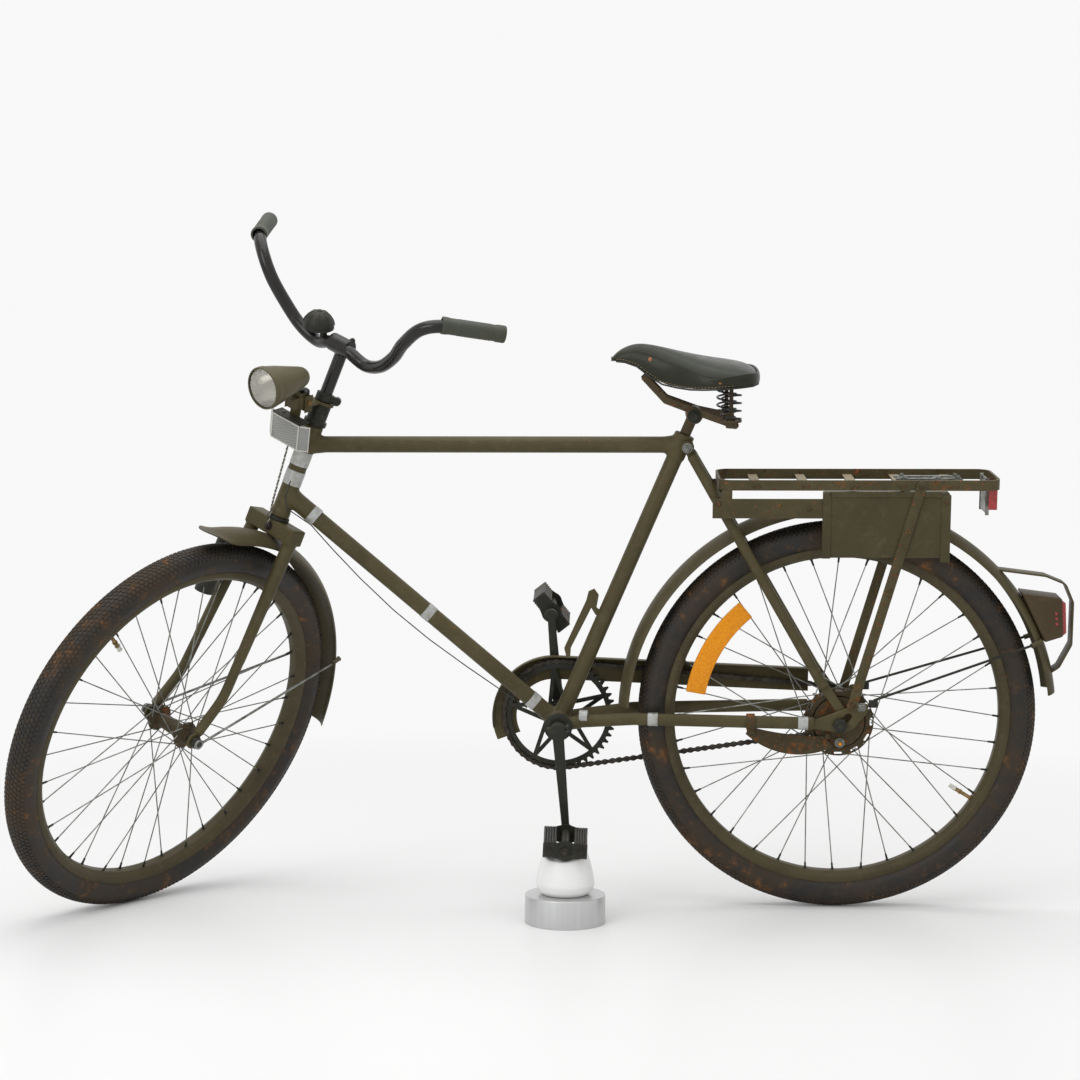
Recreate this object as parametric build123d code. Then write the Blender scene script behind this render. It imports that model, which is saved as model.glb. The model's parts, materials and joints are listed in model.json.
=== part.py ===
from build123d import *
import math
import os

# A military roadster bicycle that leans on a small plinth under its left pedal, in millimetres and degrees.
# It is drawn upright and straight ahead first: rear hub above the origin, +X to the rear, +Y to the rider's
# right, +Z up. At the end the bars are turned, the whole is leaned on to its tyres, and the origin is moved.

# Wheels
TYRE_RADIUS = 344.0
TYRE_WIDTH = 52.0
TYRE_HEIGHT = 46.0
TREAD_WIDTH = 16.0
RIM_WIDTH = 34.0
RIM_DEPTH = 17.0
RIM_BED_WIDTH = 18.0
SPOKE_COUNT = 36
SPOKE_RADIUS = 1.0
SPOKE_LEAD = 62.0
WHEELBASE = 1176.0
FRONT_FLANGE_RADIUS = 24.0
FRONT_FLANGE_SIDE = 34.0
FRONT_AXLE_HALF = 73.0
AXLE_RADIUS = 4.9
DRUM_RADIUS = 60.0
DRUM_SIDE = 46.0
DRUM_FLANGE = 6.0
DRUM_RECESS_RADIUS = 46.0
DRUM_SLOT_COUNT = 12
REAR_FLANGE_RADIUS = 30.0
REAR_FLANGE_SIDE = 32.0
REAR_AXLE_HALF = 82.0
REAR_AXLE_RADIUS = 5.8

# Frame
HEAD_ANGLE = 68.1
FORK_OFFSET = 66.0
HEAD_LOW = 404.0
HEAD_TOP = 575.0
HEAD_TUBE_RADIUS = 16.0
STEERER_RADIUS = 12.7
TUBE_RADIUS = 14.3
LUG_WALL = 2.0
LUG_LENGTH = 42.0
DOWN_LUG_LENGTH = 62.0
DOWN_TUBE_JOINT = 446.0
TOP_TUBE_HEIGHT = 818.5
BRACKET_AHEAD = 483.0
BRACKET_HEIGHT = 330.0
BRACKET_RADIUS = 20.0
BRACKET_HALF = 34.0
CUP_RADIUS = 24.5
CUP_LENGTH = 5.0
SEAT_ANGLE = 66.9
SEAT_TUBE_LENGTH = 551.0
STAY_RADIUS = 9.0
CHAINSTAY_TALL = 11.0
CHAINSTAY_WIDE = 8.0
DROPOUT_SIDE = 61.5
DROPOUT_THICK = 5.0

# Drive
CHAIN_PITCH = 12.7
CHAINWHEEL_TEETH = 48
SPROCKET_TEETH = 20
CHAIN_LINE = 49.0
PLATE_THICK = 3.0
CRANK_AXLE_RADIUS = 9.0
CRANK_LENGTH = 176.0
CRANK_ANGLE = 4.5
CRANK_INNER = 63.0
CRANK_THICK = 11.0
PEDAL_LENGTH = 96.0
PEDAL_SPREAD = 26.0
PEDAL_BLOCK_WIDE = 22.0
PEDAL_BLOCK_TALL = 26.0
PEDAL_BLOCK_ROUND = 4.0
PEDAL_BOSS_RADIUS = 17.0
RIGHT_PEDAL_TILT = 52.0
LEFT_PEDAL_TILT = 2.7
GUARD_RADIUS = 110.0
GUARD_BAND = 43.0

# Steering
CROWN_LOW = 370.0
CROWN_HEIGHT = 28.0
CROWN_WIDTH = 112.0
CROWN_DEPTH = 34.0
BLADE_SPREAD = 46.0
BLADE_TOP_RADIUS = 12.5
BLADE_TIP_RADIUS = 8.5
FORK_END_SIDE = 54.0
FORK_END_THICK = 5.0
STEM_RADIUS = 11.0
STEM_TOP = 719.0
STEM_REACH = 8.0
BAR_RADIUS = 11.0
GRIP_RADIUS = 14.5
GRIP_LENGTH = 108.0
BELL_RADIUS = 27.0
LAMP_RADIUS = 36.0
LAMP_LENGTH = 98.0
STEER_TURN = 54.0

# Mudguards
MUDGUARD_RADIUS = 369.0
MUDGUARD_HALF = 32.0
MUDGUARD_DROP = 14.0
MUDGUARD_THICK = 1.6
FRONT_GUARD_FROM = -19.0
FRONT_GUARD_TO = 89.0
REAR_GUARD_FROM = 7.5
REAR_GUARD_TO = 177.0

# Rack and saddle
RACK_FRONT = -212.0
RACK_REAR = 262.0
RACK_LOW = 750.0
RACK_TALL = 17.5
RACK_HALF = 66.5
RACK_STRIP = 4.0
SLAT_WIDTH = 16.0
BOX_LENGTH = 211.0
BOX_HEIGHT = 111.0
BOX_THICK = 25.0
SADDLE_WIDTH = 196.0
SPRING_RADIUS = 18.0
SPRING_WIRE = 3.6

# Plinth
PUCK_RADIUS = 68.5
PUCK_HEIGHT = 48.0
PUTTY_RADIUS = 50.0

# How it stands, and the gaps between pieces
LEAN = 7.25
SEAT_GAP = 0.2
RUN_GAP = 0.5

BASE = (Align.CENTER, Align.CENTER, Align.MIN)
RIM_RADIUS = TYRE_RADIUS - TYRE_HEIGHT
SIDES = (-1, 1)
nodes = {}


def rod(start, end, radius, end_radius=None):
    """A round bar, or a cone where the end has its own radius."""
    start, end = Vector(*start), Vector(*end)
    length = (end - start).length
    if end_radius is None:
        solid = Cylinder(radius, length, align=BASE)
    else:
        solid = Cone(radius, end_radius, length, align=BASE)
    return Plane(origin=start, z_dir=end - start) * solid


def six_sided(start, end, radius):
    """A thin bar of hexagonal section, its corners at the given radius."""
    start, end = Vector(*start), Vector(*end)
    return extrude(Plane(origin=start, z_dir=end - start) * RegularPolygon(radius, 6), (end - start).length)


def bent(points, bends, section):
    """A section swept along straight runs joined by arcs."""
    path = FilletPolyline(*points, radius=bends)
    return sweep(Plane(origin=path @ 0, x_dir=(0, 1, 0), z_dir=path % 0) * section, path=path)


def strap(start, end, width, thick, facing):
    """A flat bar from point to point, its broad face looking as nearly along facing as it can."""
    start, end = Vector(*start), Vector(*end)
    run = end - start
    flat = Plane(origin=start, x_dir=run, z_dir=run.cross(Vector(*facing).cross(run)))
    return flat * Pos(run.length / 2, 0, 0) * Box(run.length, width, thick)


def plate(outline, low_side, high_side):
    """A flat plate in the XZ plane between two sides; outline is a face drawn in (x, z)."""
    return Pos(0, high_side, 0) * extrude(Plane.XZ * outline, high_side - low_side)


def polygon(points):
    return make_face(Polyline(*points, close=True))


def turned(points, arc=360.0):
    """A solid of revolution about the Y axis from (radius, side) corners."""
    return revolve(polygon(points), Axis.Y, arc)


def both(points):
    """A (radius, side) outline from its right half, mirrored to the left."""
    return points + [(radius, -side) for radius, side in reversed(points)]


def across(x, z, low_side, high_side, radius):
    """A round bar along Y."""
    return rod((x, low_side, z), (x, high_side, z), radius)


# Fixed points of the upright bicycle
rear_hub = Vector(0, 0, TYRE_RADIUS)
front_hub = Vector(-WHEELBASE, 0, TYRE_RADIUS)
head_up = Vector(math.cos(math.radians(HEAD_ANGLE)), 0, math.sin(math.radians(HEAD_ANGLE)))
head_ahead = Vector(-head_up.Z, 0, head_up.X)
axis_foot = front_hub - head_ahead * FORK_OFFSET
bracket = Vector(-BRACKET_AHEAD, 0, BRACKET_HEIGHT)
seat_up = Vector(math.cos(math.radians(SEAT_ANGLE)), 0, math.sin(math.radians(SEAT_ANGLE)))


def on_axis(along, ahead=0.0, side=0.0):
    """A point of the steering head: along the axis, ahead of it and to the right."""
    return axis_foot + head_up * along + head_ahead * ahead + Vector(0, side, 0)


top_joint = on_axis((TOP_TUBE_HEIGHT - axis_foot.Z) / head_up.Z)
seat_joint = bracket + seat_up * ((TOP_TUBE_HEIGHT - bracket.Z) / seat_up.Z)
down_joint = on_axis(DOWN_TUBE_JOINT)
top_run = (seat_joint - top_joint).normalized()
down_run = (bracket - down_joint).normalized()
seat_top = bracket + seat_up * SEAT_TUBE_LENGTH
lug_radius = TUBE_RADIUS + LUG_WALL

# Head tube with its two lugs, bored for the steerer
head_tube = rod(on_axis(HEAD_LOW), on_axis(HEAD_TOP), HEAD_TUBE_RADIUS)
head_tube += rod(top_joint, top_joint + top_run * LUG_LENGTH, lug_radius)
head_tube += rod(down_joint, down_joint + down_run * DOWN_LUG_LENGTH, lug_radius)
head_tube -= rod(on_axis(HEAD_LOW - 40), on_axis(HEAD_TOP + 40), STEERER_RADIUS + RUN_GAP)
nodes["head_tube"] = ("frame", head_tube)

# Bottom bracket shell, its two cups, and sockets for the tubes and the chainstays
chainstay_start = {side: bracket + Vector(36, side * 24, 7) for side in SIDES}
chainstay_bend = {side: Vector(-350, side * 38.5, 346) for side in SIDES}
bracket_shell = across(bracket.X, bracket.Z, -BRACKET_HALF, BRACKET_HALF, BRACKET_RADIUS)
for side in SIDES:
    cup_from, cup_to = sorted((side * BRACKET_HALF, side * (BRACKET_HALF + CUP_LENGTH)))
    bracket_shell += across(bracket.X, bracket.Z, cup_from, cup_to, CUP_RADIUS)
    stay_run = (chainstay_bend[side] - chainstay_start[side]).normalized()
    bracket_shell += rod(chainstay_start[side] - stay_run * 34, chainstay_start[side], CHAINSTAY_TALL)
bracket_shell += rod(bracket, bracket + seat_up * LUG_LENGTH, lug_radius)
bracket_shell += rod(bracket, bracket - down_run * LUG_LENGTH, lug_radius)
axle_bore = CRANK_AXLE_RADIUS + RUN_GAP
bracket_shell -= across(bracket.X, bracket.Z, -BRACKET_HALF - 40, BRACKET_HALF + 40, axle_bore)
nodes["bottom_bracket"] = ("frame", bracket_shell)

# Main tubes, seated face to face in the lugs, with a flat hook ahead of the seat tube
seat_tube = rod(bracket + seat_up * LUG_LENGTH, seat_top, TUBE_RADIUS)
seat_tube += rod(seat_joint - seat_up * 22, seat_top, lug_radius)
seat_tube += rod(seat_joint, seat_joint - top_run * LUG_LENGTH, lug_radius)
HOOK_OUTLINE = [(-400, 518), (-418, 534), (-414, 556), (-421, 566), (-430, 562), (-434, 546), (-472, 462), (-468, 446),
                (-463, 450), (-462, 464), (-426, 536), (-419, 524), (-402, 509)]
seat_tube += plate(polygon(HOOK_OUTLINE), -4, 4)
nodes["seat_tube"] = ("frame", seat_tube)
nodes["top_tube"] = ("frame", rod(top_joint + top_run * LUG_LENGTH, seat_joint - top_run * LUG_LENGTH, TUBE_RADIUS))
nodes["down_tube"] = ("frame", rod(down_joint + down_run * DOWN_LUG_LENGTH, bracket - down_run * LUG_LENGTH, TUBE_RADIUS))

# Chainstays with the rear dropout plates; columns are x behind the hub and height above it
DROPOUT_OUTLINE = [(-50, 6), (36, 39), (49, 36), (46, 20), (24, -7), (6, -15), (-50, -7)]
for side, name in ((-1, "left"), (1, "right")):
    low, high = sorted((side * DROPOUT_SIDE, side * (DROPOUT_SIDE + DROPOUT_THICK)))
    outline = fillet(polygon([(x, rear_hub.Z + z) for x, z in DROPOUT_OUTLINE]).vertices(), 4)
    slot = Pos(7, rear_hub.Z + 7) * Rot(0, 0, 45) * SlotOverall(20 + 2 * REAR_AXLE_RADIUS, 2 * (REAR_AXLE_RADIUS + SEAT_GAP))
    stay_end = Vector(-44, side * (DROPOUT_SIDE + DROPOUT_THICK / 2), 346)
    stay = bent([chainstay_start[side], chainstay_bend[side], stay_end], 120, Ellipse(CHAINSTAY_WIDE, CHAINSTAY_TALL))
    stay += plate(outline, low, high)
    stay -= plate(slot, low - 5, high + 5)
    nodes["chainstay_" + name] = ("frame", stay)

# Seat stays: a flattened eye on the seat lug's bolt, a round tube, and a flat tab inside the dropout
stay_eye = seat_joint + Vector(11, 0, -2)
for side, name in ((-1, "left"), (1, "right")):
    eye_low, eye_high = sorted((side * (lug_radius + SEAT_GAP), side * (lug_radius + 4.4)))
    tab_side = side * (DROPOUT_SIDE - 2 - SEAT_GAP)
    stay_top = Vector(-256, side * 25, 803)
    stay_bend = Vector(-218, side * 44, 737)
    stay_foot = Vector(-28, tab_side, 408)
    stay = bent([stay_top, stay_bend, stay_foot], 160, Circle(STAY_RADIUS))
    stay += across(stay_eye.X, stay_eye.Z, eye_low, eye_high, 12)
    inside_top = stay_top + (stay_bend - stay_top).normalized() * 14
    stay += strap((stay_eye.X, side * (lug_radius + 2.3), stay_eye.Z), inside_top, 15, 4, (0.3, side, 0.2))
    stay += strap(stay_foot + Vector(-8, 0, 14), Vector(4, tab_side, 364), 17, 4, (0, 1, 0))
    head_low, head_high = sorted((side * (lug_radius + 4.4), side * (lug_radius + 11)))
    stay += across(stay_eye.X, stay_eye.Z, head_low, head_high, 8.5)
    nodes["seat_stay_" + name] = ("frame", stay)


# Wire wheels: tyre, rim, hub and spokes
def tyre_at(hub):
    half = TYRE_WIDTH / 2
    profile = both([(RIM_RADIUS, RIM_WIDTH / 2 - 2), (RIM_RADIUS + 16, half), (RIM_RADIUS + 33, half - 4),
                    (TYRE_RADIUS, TREAD_WIDTH / 2)])
    return Pos(*hub) * turned(profile)


def rim_at(hub):
    top = RIM_RADIUS - SEAT_GAP
    profile = both([(top, RIM_WIDTH / 2), (top - 9, RIM_WIDTH / 2), (top - RIM_DEPTH, RIM_BED_WIDTH / 2)])
    return Pos(*hub) * turned(profile)


def spokes_at(hub, flanges):
    """Spokes laced tangentially; flanges holds (side, flange radius) for left and right."""
    bars = []
    rim_inside = RIM_RADIUS - SEAT_GAP - RIM_DEPTH - 0.3
    for index in range(SPOKE_COUNT):
        side, flange_radius = flanges[index % 2]
        lead = SPOKE_LEAD if index % 4 < 2 else -SPOKE_LEAD
        rim_angle = math.radians(360 / SPOKE_COUNT * index)
        hub_angle = rim_angle + math.radians(lead)
        near = flange_radius + 1.5
        foot = Vector(near * math.cos(hub_angle), side, near * math.sin(hub_angle))
        head = Vector(rim_inside * math.cos(rim_angle), math.copysign(4, side), rim_inside * math.sin(rim_angle))
        bars.append(Pos(*hub) * six_sided(foot, head, SPOKE_RADIUS))
    return Compound(children=bars)


nodes["rear_tyre"] = ("rear_wheel", tyre_at(rear_hub))
nodes["rear_rim"] = ("rear_wheel", rim_at(rear_hub))
nodes["front_tyre"] = ("front_wheel", tyre_at(front_hub))
nodes["front_rim"] = ("front_wheel", rim_at(front_hub))

# Rear hub: a slotted brake drum on the left and a small flange on the right, bored for the axle
drum_bore = REAR_AXLE_RADIUS + RUN_GAP
drum_floor = -DRUM_SIDE + DRUM_FLANGE
rear_hub_shell = turned([(drum_bore, drum_floor), (DRUM_RECESS_RADIUS, drum_floor), (DRUM_RECESS_RADIUS, -DRUM_SIDE),
                         (DRUM_RADIUS, -DRUM_SIDE), (DRUM_RADIUS, drum_floor), (DRUM_RADIUS - 8, drum_floor),
                         (DRUM_RADIUS - 10, -16), (22, -10), (18, REAR_FLANGE_SIDE - 4),
                         (REAR_FLANGE_RADIUS, REAR_FLANGE_SIDE - 2), (REAR_FLANGE_RADIUS, REAR_FLANGE_SIDE + 2),
                         (15, REAR_FLANGE_SIDE + 4), (15, REAR_FLANGE_SIDE + 8), (drum_bore, REAR_FLANGE_SIDE + 8)])
drum_slot = Rot(0, 0, 90) * SlotOverall(15, 5)
for index in range(DRUM_SLOT_COUNT):
    turn = 360 / DRUM_SLOT_COUNT * index
    rear_hub_shell -= Rot(0, turn, 0) * plate(Pos(DRUM_RADIUS - 4.2, 0) * drum_slot, -DRUM_SIDE - 1, drum_floor + 1)
nodes["rear_hub"] = ("rear_wheel", Pos(*rear_hub) * rear_hub_shell)
nodes["rear_spokes"] = ("rear_wheel", spokes_at(rear_hub, [(-DRUM_SIDE + DRUM_FLANGE / 2, DRUM_RADIUS),
                                                         (REAR_FLANGE_SIDE, REAR_FLANGE_RADIUS)]))

# Amber reflector clipped on the left rear spokes, a curved bar
AMBER_INNER, AMBER_OUTER, AMBER_ARC, AMBER_TURN = 232.0, 266.0, 40.0, 190.0
amber = turned([(AMBER_INNER, -20.3), (AMBER_OUTER, -20.3), (AMBER_OUTER, -12.8), (AMBER_INNER, -12.8)], AMBER_ARC)
nodes["spoke_reflector"] = ("rear_wheel", Pos(*rear_hub) * Rot(0, -AMBER_TURN + AMBER_ARC / 2, 0) * amber)

# Front hub and spokes
front_bore = AXLE_RADIUS + RUN_GAP
front_hub_shell = turned(both([(front_bore, 46), (10, 46), (11, FRONT_FLANGE_SIDE + 4),
                               (FRONT_FLANGE_RADIUS, FRONT_FLANGE_SIDE + 2), (FRONT_FLANGE_RADIUS, FRONT_FLANGE_SIDE - 2),
                               (13, FRONT_FLANGE_SIDE - 4)]))
nodes["front_hub"] = ("front_wheel", Pos(*front_hub) * front_hub_shell)
nodes["front_spokes"] = ("front_wheel", spokes_at(front_hub, [(-FRONT_FLANGE_SIDE, FRONT_FLANGE_RADIUS),
                                                            (FRONT_FLANGE_SIDE, FRONT_FLANGE_RADIUS)]))

# Rear axle with its nuts, and the chain adjusters behind it
rear_axle = across(rear_hub.X, rear_hub.Z, -REAR_AXLE_HALF, REAR_AXLE_HALF, REAR_AXLE_RADIUS)
nut_side = DROPOUT_SIDE + DROPOUT_THICK + SEAT_GAP
for side in SIDES:
    nut = extrude(Plane.XZ * RegularPolygon(13, 6), 9 * -side)
    rear_axle += Pos(rear_hub.X, side * nut_side, rear_hub.Z) * nut

# Brake plate inside the drum, with its boss out to the dropout, its cam nut and the curved torque arm
axle_hole = REAR_AXLE_RADIUS + SEAT_GAP
brake_plate = turned([(axle_hole, drum_floor - 1.5), (DRUM_RECESS_RADIUS - 2, drum_floor - 1.5),
                      (DRUM_RECESS_RADIUS - 2, -DRUM_SIDE - 2), (12, -DRUM_SIDE - 2),
                      (12, -DROPOUT_SIDE + SEAT_GAP), (axle_hole, -DROPOUT_SIDE + SEAT_GAP)])
brake_plate += across(1, -34, -DRUM_SIDE - 12, -DRUM_SIDE - 1, 6)
arm_low, arm_high = -DRUM_SIDE - 7, -DRUM_SIDE - 2
ARM_EYE = (-152, -17)
arm_outer = ThreePointArc((-160, -20), (-80, -56), (-8, -42))
arm_inner = ThreePointArc((-26, -24), (-80, -22), (-146, -10))
arm_outline = make_face(Curve() + [arm_outer, Line(arm_outer @ 1, arm_inner @ 0), arm_inner, Line(arm_inner @ 1, arm_outer @ 0)])
torque_arm = plate(arm_outline, arm_low, arm_high)

# Clip that ties the torque arm to the left chainstay
clip_side = -54.0
clip = Pos(ARM_EYE[0], clip_side, 346) * Rot(0, 90, 0) * (Cylinder(14, 14) - Cylinder(11.6, 14))
clip += Pos(ARM_EYE[0], clip_side - 4, 330) * Box(13, 5, 9)
nodes["brake_plate"] = ("frame", Compound(children=[Pos(*rear_hub) * (brake_plate + torque_arm), clip]))


# Chain drive: a fixed loop of link plates round the chainwheel and the rear sprocket
def pitch_radius(teeth):
    return CHAIN_PITCH / (2 * math.sin(math.pi / teeth))


def toothed(teeth):
    """Outline of a toothed wheel, four corners to a tooth."""
    root = pitch_radius(teeth) - 4.2
    tip = pitch_radius(teeth) + 3.6
    points = []
    for index in range(teeth):
        for share, radius in ((-0.34, root), (-0.1, tip), (0.1, tip), (0.34, root)):
            angle = 2 * math.pi * (index + share) / teeth
            points.append((radius * math.cos(angle), radius * math.sin(angle)))
    return polygon(points)


def chain_points():
    """Evenly spaced pin places on the loop, as (x, z) pairs."""
    big, small = pitch_radius(CHAINWHEEL_TEETH), pitch_radius(SPROCKET_TEETH)
    start, end = Vector(bracket.X, bracket.Z), Vector(rear_hub.X, rear_hub.Z)
    gap = end - start
    slope = math.atan2(gap.Y, gap.X)
    tilt = math.acos((big - small) / gap.length)
    run = math.sqrt(gap.length ** 2 - (big - small) ** 2)
    lengths = (run, 2 * tilt * small, run, 2 * (math.pi - tilt) * big)
    count = 2 * round(sum(lengths) / CHAIN_PITCH / 2)
    step = sum(lengths) / count
    points = []
    for index in range(count):
        at = index * step
        if at < lengths[0]:
            angle = slope + tilt
            point = start + Vector(math.cos(angle), math.sin(angle)) * big + Vector(math.sin(angle), -math.cos(angle)) * at
        elif at < lengths[0] + lengths[1]:
            angle = slope + tilt - (at - lengths[0]) / small
            point = end + Vector(math.cos(angle), math.sin(angle)) * small
        elif at < sum(lengths[:3]):
            angle = slope - tilt
            back = at - lengths[0] - lengths[1]
            point = end + Vector(math.cos(angle), math.sin(angle)) * small + Vector(math.sin(angle), -math.cos(angle)) * back
        else:
            angle = slope - tilt - (at - sum(lengths[:3])) / big
            point = start + Vector(math.cos(angle), math.sin(angle)) * big
        points.append((point.X, point.Y))
    return points


LINK_TALL = 8.4
LINK_THICK = 1.0
LINK_INNER = 2.5
pins = chain_points()
links = []
for index, here in enumerate(pins):
    there = pins[(index + 1) % len(pins)]
    middle = ((here[0] + there[0]) / 2, (here[1] + there[1]) / 2)
    inset = LINK_INNER + (index % 2) * (LINK_THICK + SEAT_GAP)
    for side in SIDES:
        flat = Plane(origin=(middle[0], CHAIN_LINE + side * inset, middle[1]),
                     x_dir=(there[0] - here[0], 0, there[1] - here[1]), z_dir=(0, 1, 0))
        links.append(flat * Box(CHAIN_PITCH + 7, LINK_TALL, LINK_THICK))
nodes["chain"] = ("frame", Compound(children=links))

sprocket = plate(toothed(SPROCKET_TEETH), CHAIN_LINE - PLATE_THICK / 2, CHAIN_LINE + PLATE_THICK / 2)
sprocket += across(0, 0, REAR_FLANGE_SIDE + 9, DROPOUT_SIDE - SEAT_GAP, 14)
sprocket -= across(0, 0, -5, DROPOUT_SIDE + 5, axle_hole)
nodes["rear_axle"] = ("frame", Compound(children=[rear_axle, Pos(*rear_hub) * sprocket]))

# Chainwheel: a toothed ring on five double arms, bored for the crank axle
RING_INNER, HUB_DISC = 84.0, 27.0
chainwheel = toothed(CHAINWHEEL_TEETH) - Circle(RING_INNER) + Circle(HUB_DISC)
for index in range(5):
    apex = math.radians(24 + 72 * index)
    for spread in (-38, 38):
        foot = apex + math.radians(spread)
        outer = Vector(math.cos(apex), math.sin(apex)) * (RING_INNER + 2)
        inner = Vector(math.cos(foot), math.sin(foot)) * (HUB_DISC - 4)
        arm = inner - outer
        turn = math.degrees(math.atan2(arm.Y, arm.X))
        centre = (inner + outer) * 0.5
        chainwheel += Pos(centre.X, centre.Y) * Rot(0, 0, turn) * Rectangle(arm.length, 7)
chainwheel -= Circle(CRANK_AXLE_RADIUS + SEAT_GAP)
chainwheel_solid = plate(chainwheel, CHAIN_LINE - PLATE_THICK / 2, CHAIN_LINE + PLATE_THICK / 2)
nodes["chainwheel"] = ("crank", Pos(*bracket) * chainwheel_solid)

# Crank axle and arms, drawn about the bracket with the left arm down
crank_outer = CRANK_INNER + CRANK_THICK
cranks = across(0, 0, -crank_outer, crank_outer, CRANK_AXLE_RADIUS)
for side in SIDES:
    low, high = sorted((side * CRANK_INNER, side * crank_outer))
    arm = polygon([(-10, 0), (10, 0), (6.5, CRANK_LENGTH), (-6.5, CRANK_LENGTH)])
    arm_solid = plate(arm + Circle(15) + Pos(0, CRANK_LENGTH) * Circle(11.5), low, high)
    boss_low, boss_high = sorted((side * (CHAIN_LINE + PLATE_THICK / 2 + SEAT_GAP), side * CRANK_INNER))
    arm_solid += across(0, 0, boss_low, boss_high, 14)
    turn = CRANK_ANGLE if side > 0 else CRANK_ANGLE + 180
    cranks += Rot(0, -turn, 0) * arm_solid
crank_down = Vector(math.sin(math.radians(CRANK_ANGLE)), 0, -math.cos(math.radians(CRANK_ANGLE))) * CRANK_LENGTH
left_eye = bracket + crank_down
right_eye = bracket - crank_down


# Rubber block pedals: two end plates, a barrel, a spindle and two blocks
PEDAL_PLATE = 3.0
PEDAL_SPINDLE = 14.0


def pedal(side):
    """A pedal on its spindle; the right one's spindle has a running bore and stays with the crank."""
    inner = crank_outer + PEDAL_SPINDLE
    outer = inner + PEDAL_LENGTH
    dumbbell = Circle(PEDAL_BOSS_RADIUS) + Rectangle(2 * PEDAL_SPREAD, 13)
    for end in SIDES:
        dumbbell += Pos(end * PEDAL_SPREAD, 0) * Circle(9)
    low, high = sorted((side * inner, side * outer))
    solid = plate(dumbbell, low, low + PEDAL_PLATE) + plate(dumbbell, high - PEDAL_PLATE, high)
    solid += across(0, 0, low, high, 9)
    for end in SIDES:
        block = Pos(end * PEDAL_SPREAD, 0) * RectangleRounded(PEDAL_BLOCK_WIDE, PEDAL_BLOCK_TALL, PEDAL_BLOCK_ROUND)
        solid += plate(block, low + PEDAL_PLATE, high - PEDAL_PLATE)
    return solid


left_pedal = pedal(-1) + across(0, 0, -crank_outer - PEDAL_SPINDLE, -crank_outer - SEAT_GAP, 7.5)
nodes["left_pedal"] = ("crank", Pos(*left_eye) * Rot(0, LEFT_PEDAL_TILT, 0) * left_pedal)
spindle_end = crank_outer + PEDAL_SPINDLE - RUN_GAP
right_spindle = Pos(*right_eye) * across(0, 0, crank_outer - 1, spindle_end, 7.5)
nodes["crank_arms"] = ("crank", Pos(*bracket) * cranks + right_spindle)
nodes["right_pedal"] = ("right_pedal", Pos(*right_eye) * Rot(0, RIGHT_PEDAL_TILT, 0) * pedal(1))

# Chain guard on the right: a plate round the front of the chainwheel and back along the chain's top run
GUARD_LOW_SIDE, GUARD_PLATE, GUARD_LIP = 45.0, 1.5, 1.5
guard_face = CHAIN_LINE + 7.5
guard_centre = Vector(bracket.X - 8, bracket.Z - 4)
guard_tail = (-44.0, guard_centre.Y + GUARD_RADIUS - 20)


def guard_outline(outer, tail_x):
    """Disc round the chainwheel with the band to the rear, grown to the outer radius."""
    shrink = GUARD_RADIUS - outer
    band = polygon([(guard_centre.X, guard_centre.Y + outer), (tail_x, guard_tail[1] - shrink),
                    (tail_x, guard_tail[1] - GUARD_BAND), (guard_centre.X, guard_centre.Y + GUARD_RADIUS - GUARD_BAND)])
    return Pos(guard_centre.X, guard_centre.Y) * Circle(outer) + band


opening = Pos(guard_centre.X, guard_centre.Y) * Circle(GUARD_RADIUS - GUARD_BAND)
below = polygon([(guard_centre.X - 200, guard_centre.Y - 300), (guard_centre.X - 200, guard_centre.Y - 80),
                 (guard_centre.X - 40, guard_centre.Y - 22), (guard_centre.X, guard_centre.Y + GUARD_RADIUS - GUARD_BAND),
                 (guard_centre.X + 300, guard_centre.Y + GUARD_RADIUS - GUARD_BAND - 14), (guard_centre.X + 300, guard_centre.Y - 300)])
guard_shape = guard_outline(GUARD_RADIUS, guard_tail[0]) - opening - below
guard_inside = guard_outline(GUARD_RADIUS - GUARD_LIP, guard_tail[0] + 2)
guard_inside += Pos(0, -10) * guard_inside
lip_shape = guard_outline(GUARD_RADIUS, guard_tail[0]) - guard_inside - below
chain_guard = plate(guard_shape, guard_face, guard_face + GUARD_PLATE) + plate(lip_shape, GUARD_LOW_SIDE, guard_face)
nodes["chain_guard"] = ("frame", chain_guard)


# Mudguards: rolled strips round the wheels
def mudguard(start, end):
    outer = [(MUDGUARD_RADIUS - MUDGUARD_DROP, MUDGUARD_HALF), (MUDGUARD_RADIUS - 5, MUDGUARD_HALF - 8),
             (MUDGUARD_RADIUS, MUDGUARD_HALF - 23)]
    outer_line = [(radius, -side) for radius, side in outer] + list(reversed(outer))
    inner_line = [(radius - MUDGUARD_THICK, side * 0.96) for radius, side in reversed(outer_line)]
    return Rot(0, -start, 0) * Rot(0, start - end, 0) * turned(outer_line + inner_line, end - start)


nodes["rear_mudguard"] = ("frame", Pos(*rear_hub) * mudguard(REAR_GUARD_FROM, REAR_GUARD_TO))
nodes["front_mudguard"] = ("steering", Pos(*front_hub) * mudguard(FRONT_GUARD_FROM, FRONT_GUARD_TO))


def guard_rim(hub, angle, side):
    """A point just outside a mudguard's edge at an angle above the horizontal."""
    reach = MUDGUARD_RADIUS - MUDGUARD_DROP + 4
    return hub + Vector(reach * math.cos(math.radians(angle)), side * (MUDGUARD_HALF + 2.0),
                        reach * math.sin(math.radians(angle)))


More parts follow.
